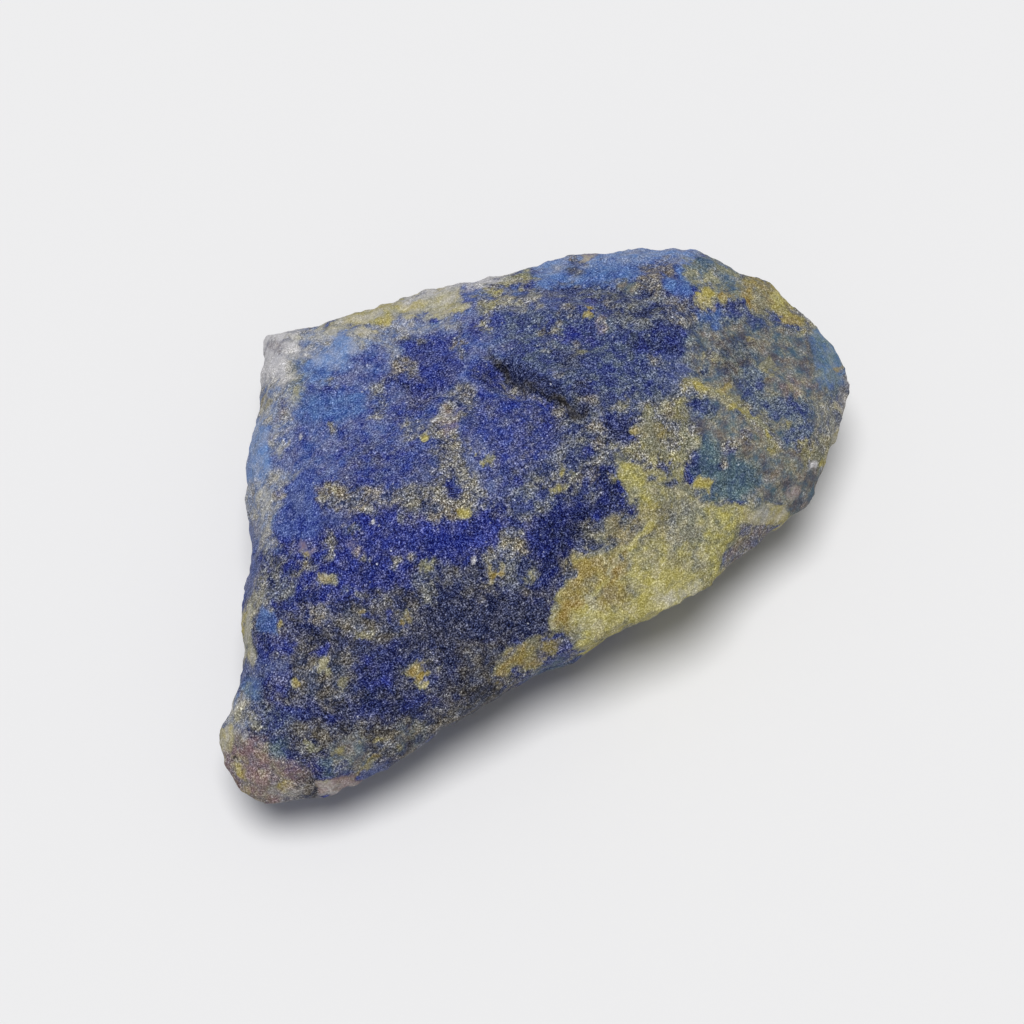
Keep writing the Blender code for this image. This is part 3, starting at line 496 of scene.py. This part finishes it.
# What the sides and the underside hold: (rock, strength, size of a patch, how
# much of the stone it covers from 0 to 1, seed).
OUT_OF_SIGHT = (
    ("blue", 1.0, 9 * MM, 1.0, 1), ("slate", 0.9, 7 * MM, 0.40, 2),
    ("ultramarine", 0.9, 5 * MM, 0.34, 3), ("beige", 0.85, 4 * MM, 0.36, 4),
    ("navy", 0.8, 3.5 * MM, 0.26, 5), ("sky", 0.5, 5 * MM, 0.12, 6),
    ("olive", 0.8, 4.5 * MM, 0.22, 7), ("ochre", 0.7, 3 * MM, 0.12, 8),
    ("mauve", 0.5, 4 * MM, 0.12, 9),
)
CLOUD_EDGE = (-0.06, 0.10)  # softness of those patches

# The yellow crust carries on round the corner that faces this way, past these
# distances from the middle, in millimetres: where it starts and where it is full.
CRUST_SIDE = Vector((0.42, -0.91, 0.0))
CRUST_REACH, CRUST_RIGHT = (13, 18), (-4, 4)
CRUST_WANDER = 3            # how far its border wanders, in millimetres
CRUST_SHARE = 0.8

# Whole numbers that scatter the values of neighbouring cells.
CELL_FACTORS, SEED_FACTOR = (73856093, 19349663, 83492791), 374761393
SCATTER = ((13, 1274126177), (16, 2246822519))

# How those values add up to clouds of several sizes, each half the one before.
SEED_SHIFT, OCTAVE_SHIFT, OCTAVE_SEED = 17.3, 5.1, 31   # no two lie alike
FINER_WEIGHT = 0.55         # how much each finer size counts for
CLOUD_STRETCH = 1.6         # brings the mean of them up to about -1 to 1


# ------------------------------------------------------------- small helpers
def smooth_step(low, high, value):
    share = np.clip((value - low) / (high - low), 0, 1)
    return share * share * (3 - 2 * share)


def lattice(cell, seed):
    """A steady value from -1 to 1 for each whole-number cell."""
    mixed = np.uint32(seed * SEED_FACTOR & 0xFFFFFFFF)
    with np.errstate(over="ignore"):
        for axis, factor in enumerate(CELL_FACTORS):
            mixed = mixed ^ cell[:, axis].astype(np.uint32) * np.uint32(factor)
        for shift, factor in SCATTER:
            mixed = (mixed ^ (mixed >> np.uint32(shift))) * np.uint32(factor)
    return (mixed >> np.uint32(8)) / float(1 << 23) - 1


def wander(points, size, seed, octaves=2):
    """Smooth cloudy values, about -1 to 1, with lumps of the given size."""
    total, weight, whole = np.zeros(len(points)), 1.0, 0.0
    for octave in range(octaves):
        place = points * (2 ** octave / size) + SEED_SHIFT * seed + OCTAVE_SHIFT * octave
        cell = np.floor(place).astype(np.int64)
        part = place - cell
        part = part * part * (3 - 2 * part)
        value = 0
        for corner in range(8):
            step = np.array([corner & 1, corner >> 1 & 1, corner >> 2 & 1])
            share = np.prod(np.where(step, part, 1 - part), axis=1)
            value = value + share * lattice(cell + step, seed + OCTAVE_SEED * octave)
        total += weight * value
        whole += weight
        weight *= FINER_WEIGHT
    return total / whole * CLOUD_STRETCH


def edge_distance(place, corners, closed):
    """How far each place is from a run of corners: less than 0 inside it."""
    count = len(corners)
    best = np.full(len(place), 1e12)
    inside = np.zeros(len(place), bool)
    for i in range(count if closed else count - 1):
        a, b = corners[i], corners[(i + 1) % count]
        along = b - a
        t = np.clip((place - a) @ along / max(along @ along, 1e-9), 0, 1)
        gap = place - a - t[:, None] * along
        best = np.minimum(best, (gap * gap).sum(1))
        if closed and a[1] != b[1]:
            crosses = (a[1] > place[:, 1]) != (b[1] > place[:, 1])
            x = a[0] + (place[:, 1] - a[1]) / (b[1] - a[1]) * along[0]
            inside ^= crosses & (place[:, 0] < x)
    best = np.sqrt(best)
    return np.where(inside, -best, best)


# ------------------------------------------------------------- trees of nodes
class Wiring:
    """Short calls that add nodes to one node tree. A value may be a plain one,
    a colour or another node's output."""

    def __init__(self, tree):
        self.nodes, self.link = tree.nodes, tree.links.new

    def fill(self, node, inputs):
        """Sets or links a node's inputs, each by its name or its number."""
        for name, value in inputs.items():
            socket = node.inputs[name]
            if isinstance(value, bpy.types.NodeSocket):
                self.link(value, socket)
            elif socket.type == "RGBA":
                socket.default_value = (*value, 1.0)
            else:
                socket.default_value = value
        return node

    def new(self, kind, inputs, **settings):
        """Adds a node, makes its settings and then fills its inputs."""
        node = self.nodes.new(kind)
        for name, value in settings.items():
            setattr(node, name, value)
        return self.fill(node, inputs)

    def math(self, kind, a, b, clamp=False):
        return self.new("ShaderNodeMath", {0: a, 1: b}, operation=kind, use_clamp=clamp).outputs[0]

    def add(self, a, b, clamp=False):
        return self.math("ADD", a, b, clamp)

    def times(self, a, b, clamp=False):
        return self.math("MULTIPLY", a, b, clamp)

    def less(self, a, b, clamp=False):
        """The first value less the second."""
        return self.math("SUBTRACT", a, b, clamp)

    def around(self, pattern, swing):
        """A pattern from 0 to 1, made to swing evenly about nothing."""
        return self.times(self.less(pattern, 0.5), swing)

    def vector(self, kind, a, b):
        second = "Scale" if kind == "SCALE" else 1
        return self.new("ShaderNodeVectorMath", {0: a, second: b}, operation=kind).outputs[0]

    def mix(self, share, a, b):
        """From one colour to another."""
        return self.new("ShaderNodeMix", {"Factor": share, 6: a, 7: b}, data_type="RGBA",
                        clamp_factor=True).outputs[2]

    def blend(self, share, a, b):
        """From one value to another."""
        return self.new("ShaderNodeMix", {"Factor": share, "A": a, "B": b}).outputs[0]

    def ramp(self, value, low, high, to_low=0.0, to_high=1.0):
        """A soft step: to_low up to the low value, to_high from the high value on."""
        return self.new("ShaderNodeMapRange", {0: value, 1: low, 2: high, 3: to_low, 4: to_high},
                        interpolation_type="SMOOTHSTEP").outputs[0]

    def gamma(self, colour, power):
        return self.new("ShaderNodeGamma", {"Color": colour, "Gamma": power}).outputs[0]

    def shifted(self, place, seed):
        """The same pattern somewhere else, so that no two lie alike."""
        return self.vector("ADD", place, (0.171 * seed, 0.113 * seed, 0.237 * seed))

    def noise(self, place, size, detail, rough, seed):
        return self.new("ShaderNodeTexNoise", {
            "Vector": self.shifted(place, seed), "Scale": 1 / size,
            "Detail": detail, "Roughness": rough}).outputs[0]

    def cells(self, place, size, seed):
        """The distance to the nearest cell's middle, and the cell's own draw."""
        cell = self.new("ShaderNodeTexVoronoi", {
            "Vector": self.shifted(place, seed), "Scale": 1 / size})
        draw = self.new("ShaderNodeSeparateColor", {0: cell.outputs["Color"]})
        return cell.outputs["Distance"], draw.outputs[0]


def new_group(name, kind, taken, handed):
    """A new node group, from the names and kinds of its inputs and outputs. Gives
    the group, its wiring, what comes in and the node that hands things on."""
    group = bpy.data.node_groups.new(name, kind)
    for way, sockets in (("INPUT", taken), ("OUTPUT", handed)):
        for label, of_kind in sockets.items():
            group.interface.new_socket(label, in_out=way, socket_type="NodeSocket" + of_kind)
    w = Wiring(group)
    given, out = w.nodes.new("NodeGroupInput"), w.nodes.new("NodeGroupOutput")
    return group, w, given.outputs, out


# ------------------------------------------------------------- the stone's skin
def broken_surface_tree():
    """Geometry nodes that roughen a smooth stone: broad lumps, chipped faces
    and the bumps of single grains, each pushed along the surface's normal."""
    tree, w, given, out = new_group(
        "broken_surface", "GeometryNodeTree",
        {"Geometry": "Geometry", **dict.fromkeys(SURFACE, "Float"), "Material": "Material"},
        {"Geometry": "Geometry"})
    place = w.nodes.new("GeometryNodeInputPosition").outputs[0]
    normal = w.nodes.new("GeometryNodeInputNormal").outputs[0]

    def relief(name, detail, middle, chipped=False):
        """Bumps of one size, up and down from the texture's own middle."""
        inputs = {"Vector": place, "W": given["Seed"], "Detail": detail,
                  "Scale": w.math("DIVIDE", 1.0, given[f"{name} Size"])}
        if chipped:
            texture = w.new("ShaderNodeTexVoronoi", inputs, voronoi_dimensions="4D")
        else:
            inputs["Roughness"] = 0.6
            texture = w.new("ShaderNodeTexNoise", inputs, noise_dimensions="4D")
        return w.times(w.less(texture.outputs[0], middle), given[f"{name} Height"])

    height = w.add(relief("Lump", 3.0, 0.5), relief("Chip", 1.0, 0.45, True))
    height = w.less(w.add(height, relief("Grain", 1.0, 0.5)), given["Inset"])
    push = w.vector("SCALE", normal, height)
    stone = given["Geometry"]
    for kind, inputs in (("SetPosition", {"Offset": push}), ("SetShadeSmooth", {}),
                         ("RealizeInstances", {}), ("SetMaterial", {"Material": given["Material"]})):
        stone = w.new("GeometryNode" + kind, {"Geometry": stone, **inputs}).outputs[0]
    w.fill(out, {"Geometry": stone})
    return tree


def stone_skin(material):
    """The stone as one closed mesh, fine enough to carry its rough surface."""
    merged = bmesh.new()
    merged.from_mesh(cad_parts["lapis_stone"].data)
    bmesh.ops.remove_doubles(merged, verts=merged.verts, dist=1e-7)
    mesh = bpy.data.meshes.new("stone_blank")
    merged.to_mesh(mesh)
    merged.free()
    blank = bpy.data.objects.new("stone_blank", mesh)
    bpy.context.scene.collection.objects.link(blank)
    remesh = blank.modifiers.new("even_points", "REMESH")
    remesh.mode = "VOXEL"
    remesh.voxel_size = SKIN_STEP
    soften = blank.modifiers.new("soften", "SMOOTH")
    soften.factor, soften.iterations = 0.5, SKIN_SOFTENING
    rough = blank.modifiers.new("broken_surface", "NODES")
    rough.node_group = broken_surface_tree()
    settings = {**SURFACE, "Material": material}
    for item in rough.node_group.interface.items_tree:
        if item.name in settings:
            rough[item.identifier] = settings[item.name]
    seen = blank.evaluated_get(bpy.context.evaluated_depsgraph_get())
    skin = bpy.data.meshes.new_from_object(seen)
    bpy.data.objects.remove(blank)
    skin.name = "lapis_skin"
    return skin


def fit_to_solid(skin):
    """Presses the skin onto the floor and keeps it inside the solid's box."""
    points = np.empty(len(skin.vertices) * 3)
    skin.vertices.foreach_get("co", points)
    points = points.reshape(-1, 3)
    low, high = np.array(CAD_BOX[0]), np.array(CAD_BOX[1])
    room = (high - low) * BOX_ROOM
    points = np.clip(points, low - room, high + room)
    points[:, 2] = np.where(points[:, 2] < REST_BAND, 0, points[:, 2])
    skin.vertices.foreach_set("co", points.ravel())
    skin.update()
    return points


def broad_normals(skin):
    """The way the stone faces at each point, without its small bumps."""
    count = len(skin.vertices)
    normals = np.empty(count * 3)
    skin.vertices.foreach_get("normal", normals)
    normals = normals.reshape(-1, 3)
    ends = np.empty(len(skin.edges) * 2, np.int32)
    skin.edges.foreach_get("vertices", ends)
    a, b = ends[0::2], ends[1::2]
    for _ in range(NORMAL_ROUNDS):
        for axis in range(3):
            value = normals[:, axis].copy()
            normals[:, axis] += (np.bincount(a, value[b], count)
                                 + np.bincount(b, value[a], count))
        normals /= np.maximum(np.linalg.norm(normals, axis=1), 1e-9)[:, None]
    return normals


def as_seen(points, normals):
    """Where each point lies in the view, with wandering edges, and how squarely
    the stone faces the view there."""
    across, down = np.array(RIGHT), -np.array(UP)
    away = points - np.array(EYE)
    depth = -(away @ np.array(BACK))
    focus = FRAME_SIDE * LENS / SENSOR
    view = FRAME_SIDE / 2 + focus * np.stack([away @ across, away @ down], 1) / depth[:, None]
    for size, reach, seed in EDGE_BENDS:
        view[:, 0] += reach * wander(points, size, seed)
        view[:, 1] += reach * wander(points, size, seed + 1)

    facing = (normals * (-away / np.linalg.norm(away, axis=1)[:, None])).sum(1)
    outward = np.stack([normals @ across, normals @ down], 1)
    outward /= np.maximum(np.linalg.norm(outward, axis=1), 1e-6)[:, None]
    view -= OUTLINE_STEP * smooth_step(*OUTLINE_BAND, facing)[:, None] * outward
    return view, facing


def paint(state, rock, mask):
    """Lays a rock over what the points hold, as far as the mask goes."""
    goal = np.array([ROCKS[rock].get(name, 0.0) for name in MINERALS])
    state += mask[:, None] * (goal - state)


def paint_places(points, view):
    """The minerals of the patches, the spots and the veins."""
    state = np.zeros((len(points), len(MINERALS)))
    paint(state, "blue", np.ones(len(points)))
    for rock, strength, soft, corners in PATCHES:
        gap = edge_distance(view, np.array(corners, float).reshape(-1, 2), True)
        spread = EDGE_SPREAD * soft
        paint(state, rock, strength * smooth_step(spread, -spread, gap))
    grit = SPOT_GRIT * wander(points, SPOT_GRAIN, 47)
    for rock, strength, x, y, half_wide, half_high in SPOTS:
        off = np.hypot((view[:, 0] - x) / half_wide, (view[:, 1] - y) / half_high)
        paint(state, rock, strength * smooth_step(*SPOT_EDGE, off + grit))
    for rock, strength, width, run in VEINS:
        gap = edge_distance(view, np.array(run, float).reshape(-1, 2), False)
        soft = VEIN_EDGE[0] + VEIN_EDGE[1] * width
        paint(state, rock, strength * smooth_step(width / 2 + soft, width / 2 - soft, gap))
    return state


def paint_out_of_sight(points):
    """The minerals of the sides and the underside."""
    state = np.zeros((len(points), len(MINERALS)))
    for rock, strength, size, cover, seed in OUT_OF_SIGHT:
        cloud = wander(points, size, seed, 3) * 0.5 + 0.5
        low, high = (1 - cover + edge for edge in CLOUD_EDGE)
        paint(state, rock, strength * smooth_step(low, high, cloud))
    side = points @ np.array(CRUST_SIDE) / MM + CRUST_WANDER * wander(points, 5 * MM, 61)
    right = points[:, 0] / MM + CRUST_WANDER * wander(points, 6 * MM, 62)
    corner = smooth_step(*CRUST_REACH, side) * smooth_step(*CRUST_RIGHT, right)
    paint(state, "crust", CRUST_SHARE * corner)
    return state


def lay_minerals(skin, points):
    """Writes how much of each mineral every point of the skin holds."""
    view, facing = as_seen(points, broad_normals(skin))
    hidden = paint_out_of_sight(points)
    border = facing + SEEN_WANDER * wander(points, SEEN_BEND, 63)
    seen = smooth_step(*SEEN_BAND, border)[:, None]
    state = np.clip(hidden + seen * (paint_places(points, view) - hidden), 0, 1)
    for index, name in enumerate(MINERALS):
        layer = skin.attributes.new(name, "FLOAT", "POINT")
        layer.data.foreach_set("value", state[:, index].astype(np.float32))


# ------------------------------------------------------------- the material
# Colours in linear light, before single grains are made lighter or darker.
COLOURS = {
    "slate": (0.058, 0.077, 0.140), "ultramarine": (0.012, 0.024, 0.222),
    "navy": (0.014, 0.021, 0.072), "sky": (0.122, 0.236, 0.505),
    "teal": (0.065, 0.155, 0.185), "umber": (0.034, 0.032, 0.034),
    "grey": (0.225, 0.228, 0.235), "beige": (0.290, 0.262, 0.175),
    "brown": (0.165, 0.135, 0.100), "tan": (0.240, 0.185, 0.105),
    "olive": (0.215, 0.222, 0.165), "yellow": (0.430, 0.390, 0.120),
    "pale": (0.460, 0.425, 0.270), "ochre": (0.240, 0.150, 0.045),
    "rose": (0.260, 0.150, 0.165), "cream": (0.570, 0.560, 0.580),
    # painted highlight: the colour of the painted glints
    "painted_glint": (0.80, 0.83, 0.90),
}
GRAIN_STEP = 0.62           # how much lighter or darker one grain is than the next
EYE_GAMMA = 2.2             # from linear light to the eye's own even steps
DARKEST = 0.02              # the least light of a grain, in those steps
GRAIN_BUMP = 0.7            # how strongly the bump of single grains shows
GRAIN_RELIEF = 0.16 * MM    # and how high it stands

# How raggedly each mineral breaks up where the rock holds only a part of it.
SPREAD = {"deep": 0.4, "navy": 0.8, "sky": 0.45, "teal": 0.8, "shade": 0.7,
          "calcite": 0.95, "crust": 1.6, "rose": 0.45, "cream": 0.55}
CRUST_GAIN = 1.5            # the crust closes over sooner than its share says

# Minerals that lie evenly, and how much each calms the steps between grains.
CALM = (("sky", 0.5), ("cream", 0.9), ("teal", 0.6), ("rose", 1.0), ("shade", 0.2))
CALM_CRUST, CALM_MOST = 0.28, 0.85


def grain_cover_group():
    """How far a mineral covers the rock, from its share of the place and a
    pattern (Chance): nothing at a share of 0, everything at 1, and broken up in
    between, the more sharply the greater Spread is."""
    group, w, given, out = new_group(
        "grain_cover", "ShaderNodeTree",
        dict.fromkeys(("Share", "Chance", "Spread"), "Float"), {"Cover": "Float"})
    share = given["Share"]
    open_part = w.times(share, w.less(1.0, share))
    swing = w.times(w.times(open_part, 4.0), w.around(given["Chance"], given["Spread"]))
    w.fill(out, {"Cover": w.add(share, swing, True)})
    return group


class Rock:
    """What the parts of the rock's material share: the wiring, the patterns, how
    much of each mineral a point holds, and the group that spreads a mineral."""

    def __init__(self, tree):
        self.w = w = Wiring(tree)
        self.cover_group = grain_cover_group()
        self.has = {name: w.new("ShaderNodeAttribute", {}, attribute_name=name).outputs["Fac"]
                    for name in MINERALS}

        # patterns from single grains up to broad clouds, the broader ones made
        # to fill the range from 0 to 1
        place = w.nodes.new("ShaderNodeTexCoord").outputs["Object"]
        self.place = place
        self.speck = w.noise(place, 0.13 * MM, 1.0, 0.8, 1.0)
        self.fine = w.noise(place, 0.32 * MM, 1.0, 0.6, 2.0)
        self.small = w.ramp(w.noise(place, 0.80 * MM, 3.0, 0.6, 3.0), 0.30, 0.70)
        self.clump = w.ramp(w.noise(place, 1.1 * MM, 3.0, 0.62, 5.0), 0.30, 0.70)
        self.other = w.ramp(w.noise(place, 1.3 * MM, 3.0, 0.62, 6.0), 0.30, 0.70)
        self.third = w.ramp(w.noise(place, 1.1 * MM, 3.0, 0.60, 8.0), 0.30, 0.70)
        self.cloud = w.ramp(w.noise(place, 3.0 * MM, 3.0, 0.6, 4.0), 0.32, 0.68)

    def cover(self, mineral, share, chance):
        """How far a mineral with this share covers the rock."""
        inputs = {"Share": share, "Chance": chance, "Spread": SPREAD[mineral]}
        return self.w.new("ShaderNodeGroup", inputs, node_tree=self.cover_group).outputs["Cover"]

    def lay(self, under, mineral, chance, colour):
        """A mineral's colour over what is there, where the mineral lies."""
        share = self.cover(mineral, self.has[mineral], chance)
        return self.w.mix(share, under, COLOURS[colour])


def blue_ground(rock):
    """The blue rock, from slate to ultramarine, with its dark and clear places. The umber laid by the
    shade share is partly dark rock and partly painted shade.
    """
    tone = rock.w.blend(0.45, rock.small, rock.cloud)
    colour = rock.lay(COLOURS["slate"], "deep", tone, "ultramarine")
    colour = rock.lay(colour, "navy", rock.other, "navy")
    colour = rock.lay(colour, "sky", rock.third, "sky")
    colour = rock.lay(colour, "teal", rock.clump, "teal")
    return rock.lay(colour, "shade", rock.third, "umber")


def calcite_grains(rock):
    """Grains of calcite, grey to beige and brown, or tan where ochre stains them."""
    w = rock.w
    colour = w.mix(rock.other, COLOURS["grey"], COLOURS["beige"])
    colour = w.mix(w.ramp(rock.third, 0.55, 1.0, 0.0, 0.55), colour, COLOURS["brown"])
    stain = w.times(rock.has["ochre"], w.ramp(rock.other, 0.1, 0.7, 0.3, 0.95))
    colour = w.mix(stain, colour, COLOURS["tan"])
    return rock.cover("calcite", rock.has["calcite"], rock.clump), colour


def yellow_crust(rock):
    """The weathered crust: olive where it is thin, yellow where it is thick."""
    w = rock.w
    uneven = w.add(w.around(rock.small, 0.6), w.around(rock.cloud, 1.0))
    thick = w.add(w.ramp(rock.has["crust"], 0.45, 1.05), uneven, True)
    colour = w.mix(thick, COLOURS["olive"], COLOURS["yellow"])
    colour = w.mix(w.ramp(rock.clump, 0.45, 1.0, 0.0, 0.55), colour, COLOURS["pale"])
    stain = w.times(rock.has["ochre"], w.ramp(rock.cloud, 0.0, 0.8, 0.35, 1.0))
    colour = w.mix(stain, colour, COLOURS["ochre"])
    share = w.times(rock.has["crust"], CRUST_GAIN, True)
    return rock.cover("crust", share, rock.other), colour


def painted_glints(rock):
    """Painted glints: where near-white specks are painted into the colour, as single crystal faces
    catching the light, but few on the crust and in the dark places.
    """
    w = rock.w
    gap, draw = w.cells(rock.place, 0.36 * MM, 7.0)
    painted_glint = w.times(w.ramp(draw, 0.94, 1.0), w.ramp(gap, 0.34, 0.14))
    covered = w.math("MAXIMUM", rock.has["shade"], w.times(rock.has["crust"], 0.8))
    return w.times(painted_glint, w.less(1.0, covered, True))


def grain_steps(rock, grains, crust):
    """How much lighter or darker each grain is, more so where calcite lies."""
    w = rock.w
    calm = w.times(crust, CALM_CRUST)
    for mineral, share in CALM:
        calm = w.add(calm, w.times(rock.has[mineral], share))
    calm = w.math("MINIMUM", calm, CALM_MOST)
    swing = w.add(w.around(rock.speck, 1.9), w.around(rock.fine, 0.45))
    swing = w.add(swing, w.times(w.times(swing, swing), 0.6))
    swing = w.times(swing, w.less(w.blend(grains, 1.05, 1.6), calm))
    return w.times(w.less(swing, 0.02), GRAIN_STEP)


def lighten(w, colour, step):
    """Adds an even step to a colour as the eye sees it."""
    seen = w.vector("ADD", w.gamma(colour, 1 / EYE_GAMMA), step)
    return w.gamma(w.vector("MAXIMUM", seen, (DARKEST,) * 3), EYE_GAMMA)


def grain_relief(rock):
    """The fine bump that single grains leave on the skin."""
    w = rock.w
    height = w.add(rock.fine, w.times(rock.speck, 0.4))
    height = w.add(height, w.times(rock.small, 0.5))
    return w.new("ShaderNodeBump", {"Strength": GRAIN_BUMP, "Distance": GRAIN_RELIEF,
                                    "Height": height}).outputs["Normal"]


def lapis_material():
    material = bpy.data.materials.new("lapis_rock")
    material.use_nodes = True
    rock = Rock(material.node_tree)
    w = rock.w

    grains, grain_colour = calcite_grains(rock)
    crust, crust_colour = yellow_crust(rock)
    painted_glint = painted_glints(rock)
    colour = w.mix(grains, blue_ground(rock), grain_colour)
    colour = w.mix(crust, colour, crust_colour)
    colour = rock.lay(colour, "rose", rock.third, "rose")
    colour = rock.lay(colour, "cream", rock.other, "cream")
    # painted glints: highlights of single crystal faces painted into the colour
    colour = w.mix(w.times(painted_glint, 0.40), colour, COLOURS["painted_glint"])
    colour = lighten(w, colour, grain_steps(rock, grains, crust))
    # near full shade turns the colour umber black: painted shade in the crack and a pit, and the
    # darkest rock
    colour = w.mix(w.ramp(rock.has["shade"], 0.62, 1.0), colour, COLOURS["umber"])
    rough = w.blend(w.math("MAXIMUM", grains, crust), 0.50, 0.80)

    w.fill(w.nodes["Principled BSDF"], {
        "Base Color": colour, "Roughness": w.less(rough, w.times(painted_glint, 0.25)),
        "Normal": grain_relief(rock), "IOR": 1.5, "Specular IOR Level": 0.12})
    return material


# ------------------------------------------------------------- floor and light
def pale_floor(scene):
    """A plain pale sheet, wide enough to fill every view."""
    mesh = bpy.data.meshes.new("floor")
    half = 1.5
    corners = [(-half, -half, 0), (half, -half, 0), (half, half, 0), (-half, half, 0)]
    mesh.from_pydata(corners, [], [(0, 1, 2, 3)])
    floor = bpy.data.objects.new("floor", mesh)
    scene.collection.objects.link(floor)
    paper = bpy.data.materials.new("floor_paper")
    paper.use_nodes = True
    w = Wiring(paper.node_tree)
    w.fill(w.nodes["Principled BSDF"], {
        "Base Color": (0.80, 0.80, 0.81), "Roughness": 0.9, "Specular IOR Level": 0.1})
    mesh.materials.append(paper)


def soft_room(scene):
    """A dim even room to light by, which looks pale behind the stone."""
    world = bpy.data.worlds.new("soft_room")
    world.use_nodes = True
    w = Wiring(world.node_tree)
    room = w.fill(w.nodes["Background"], {"Color": (0.97, 0.98, 1.0), "Strength": ROOM_LIGHT})
    wall = w.new("ShaderNodeBackground", {"Color": (0.84, 0.84, 0.85)})
    seen = w.nodes.new("ShaderNodeLightPath").outputs["Is Camera Ray"]
    either = w.new("ShaderNodeMixShader", {0: seen, 1: room.outputs[0], 2: wall.outputs[0]})
    w.fill(w.nodes["World Output"], {"Surface": either.outputs[0]})
    scene.world = world


def add_facing(scene, name, data, way):
    """Adds a lamp or a camera whose back points the given way."""
    item = bpy.data.objects.new(name, data)
    item.rotation_mode = "QUATERNION"
    item.rotation_quaternion = way.to_track_quat("Z", "Y")
    scene.collection.objects.link(item)
    return item


def broad_lamp(scene):
    """One broad soft lamp, almost overhead."""
    lamp = bpy.data.lights.new("softbox", "SUN")
    lamp.energy, lamp.angle = LAMP_LIGHT, LAMP_WIDTH
    lamp.color = (1.0, 0.995, 0.985)
    ahead = Vector((-math.sin(AZIMUTH), math.cos(AZIMUTH), 0))
    lean = ahead * math.cos(LAMP_TURN) - RIGHT * math.sin(LAMP_TURN)
    overhead = Vector((0, 0, 1))
    add_facing(scene, "softbox", lamp, overhead * math.cos(LAMP_TILT) + lean * math.sin(LAMP_TILT))


def camera_above(scene):
    camera = bpy.data.cameras.new("camera")
    camera.lens, camera.sensor_width, camera.sensor_fit = LENS, SENSOR, "HORIZONTAL"
    camera.clip_start, camera.clip_end = 0.001, 10
    scene.camera = add_facing(scene, "camera", camera, BACK)
    scene.camera.location = EYE


# ------------------------------------------------------------- the whole scene
skin = stone_skin(lapis_material())
points = fit_to_solid(skin)
lay_minerals(skin, points)
stone = bpy.data.objects.new("lapis_skin", skin)
bpy.context.scene.collection.objects.link(stone)
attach(stone, "root")
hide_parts("lapis_stone")

scene = bpy.context.scene
scene.view_settings.view_transform = "Standard"
pale_floor(scene)
soft_room(scene)
broad_lamp(scene)
camera_above(scene)
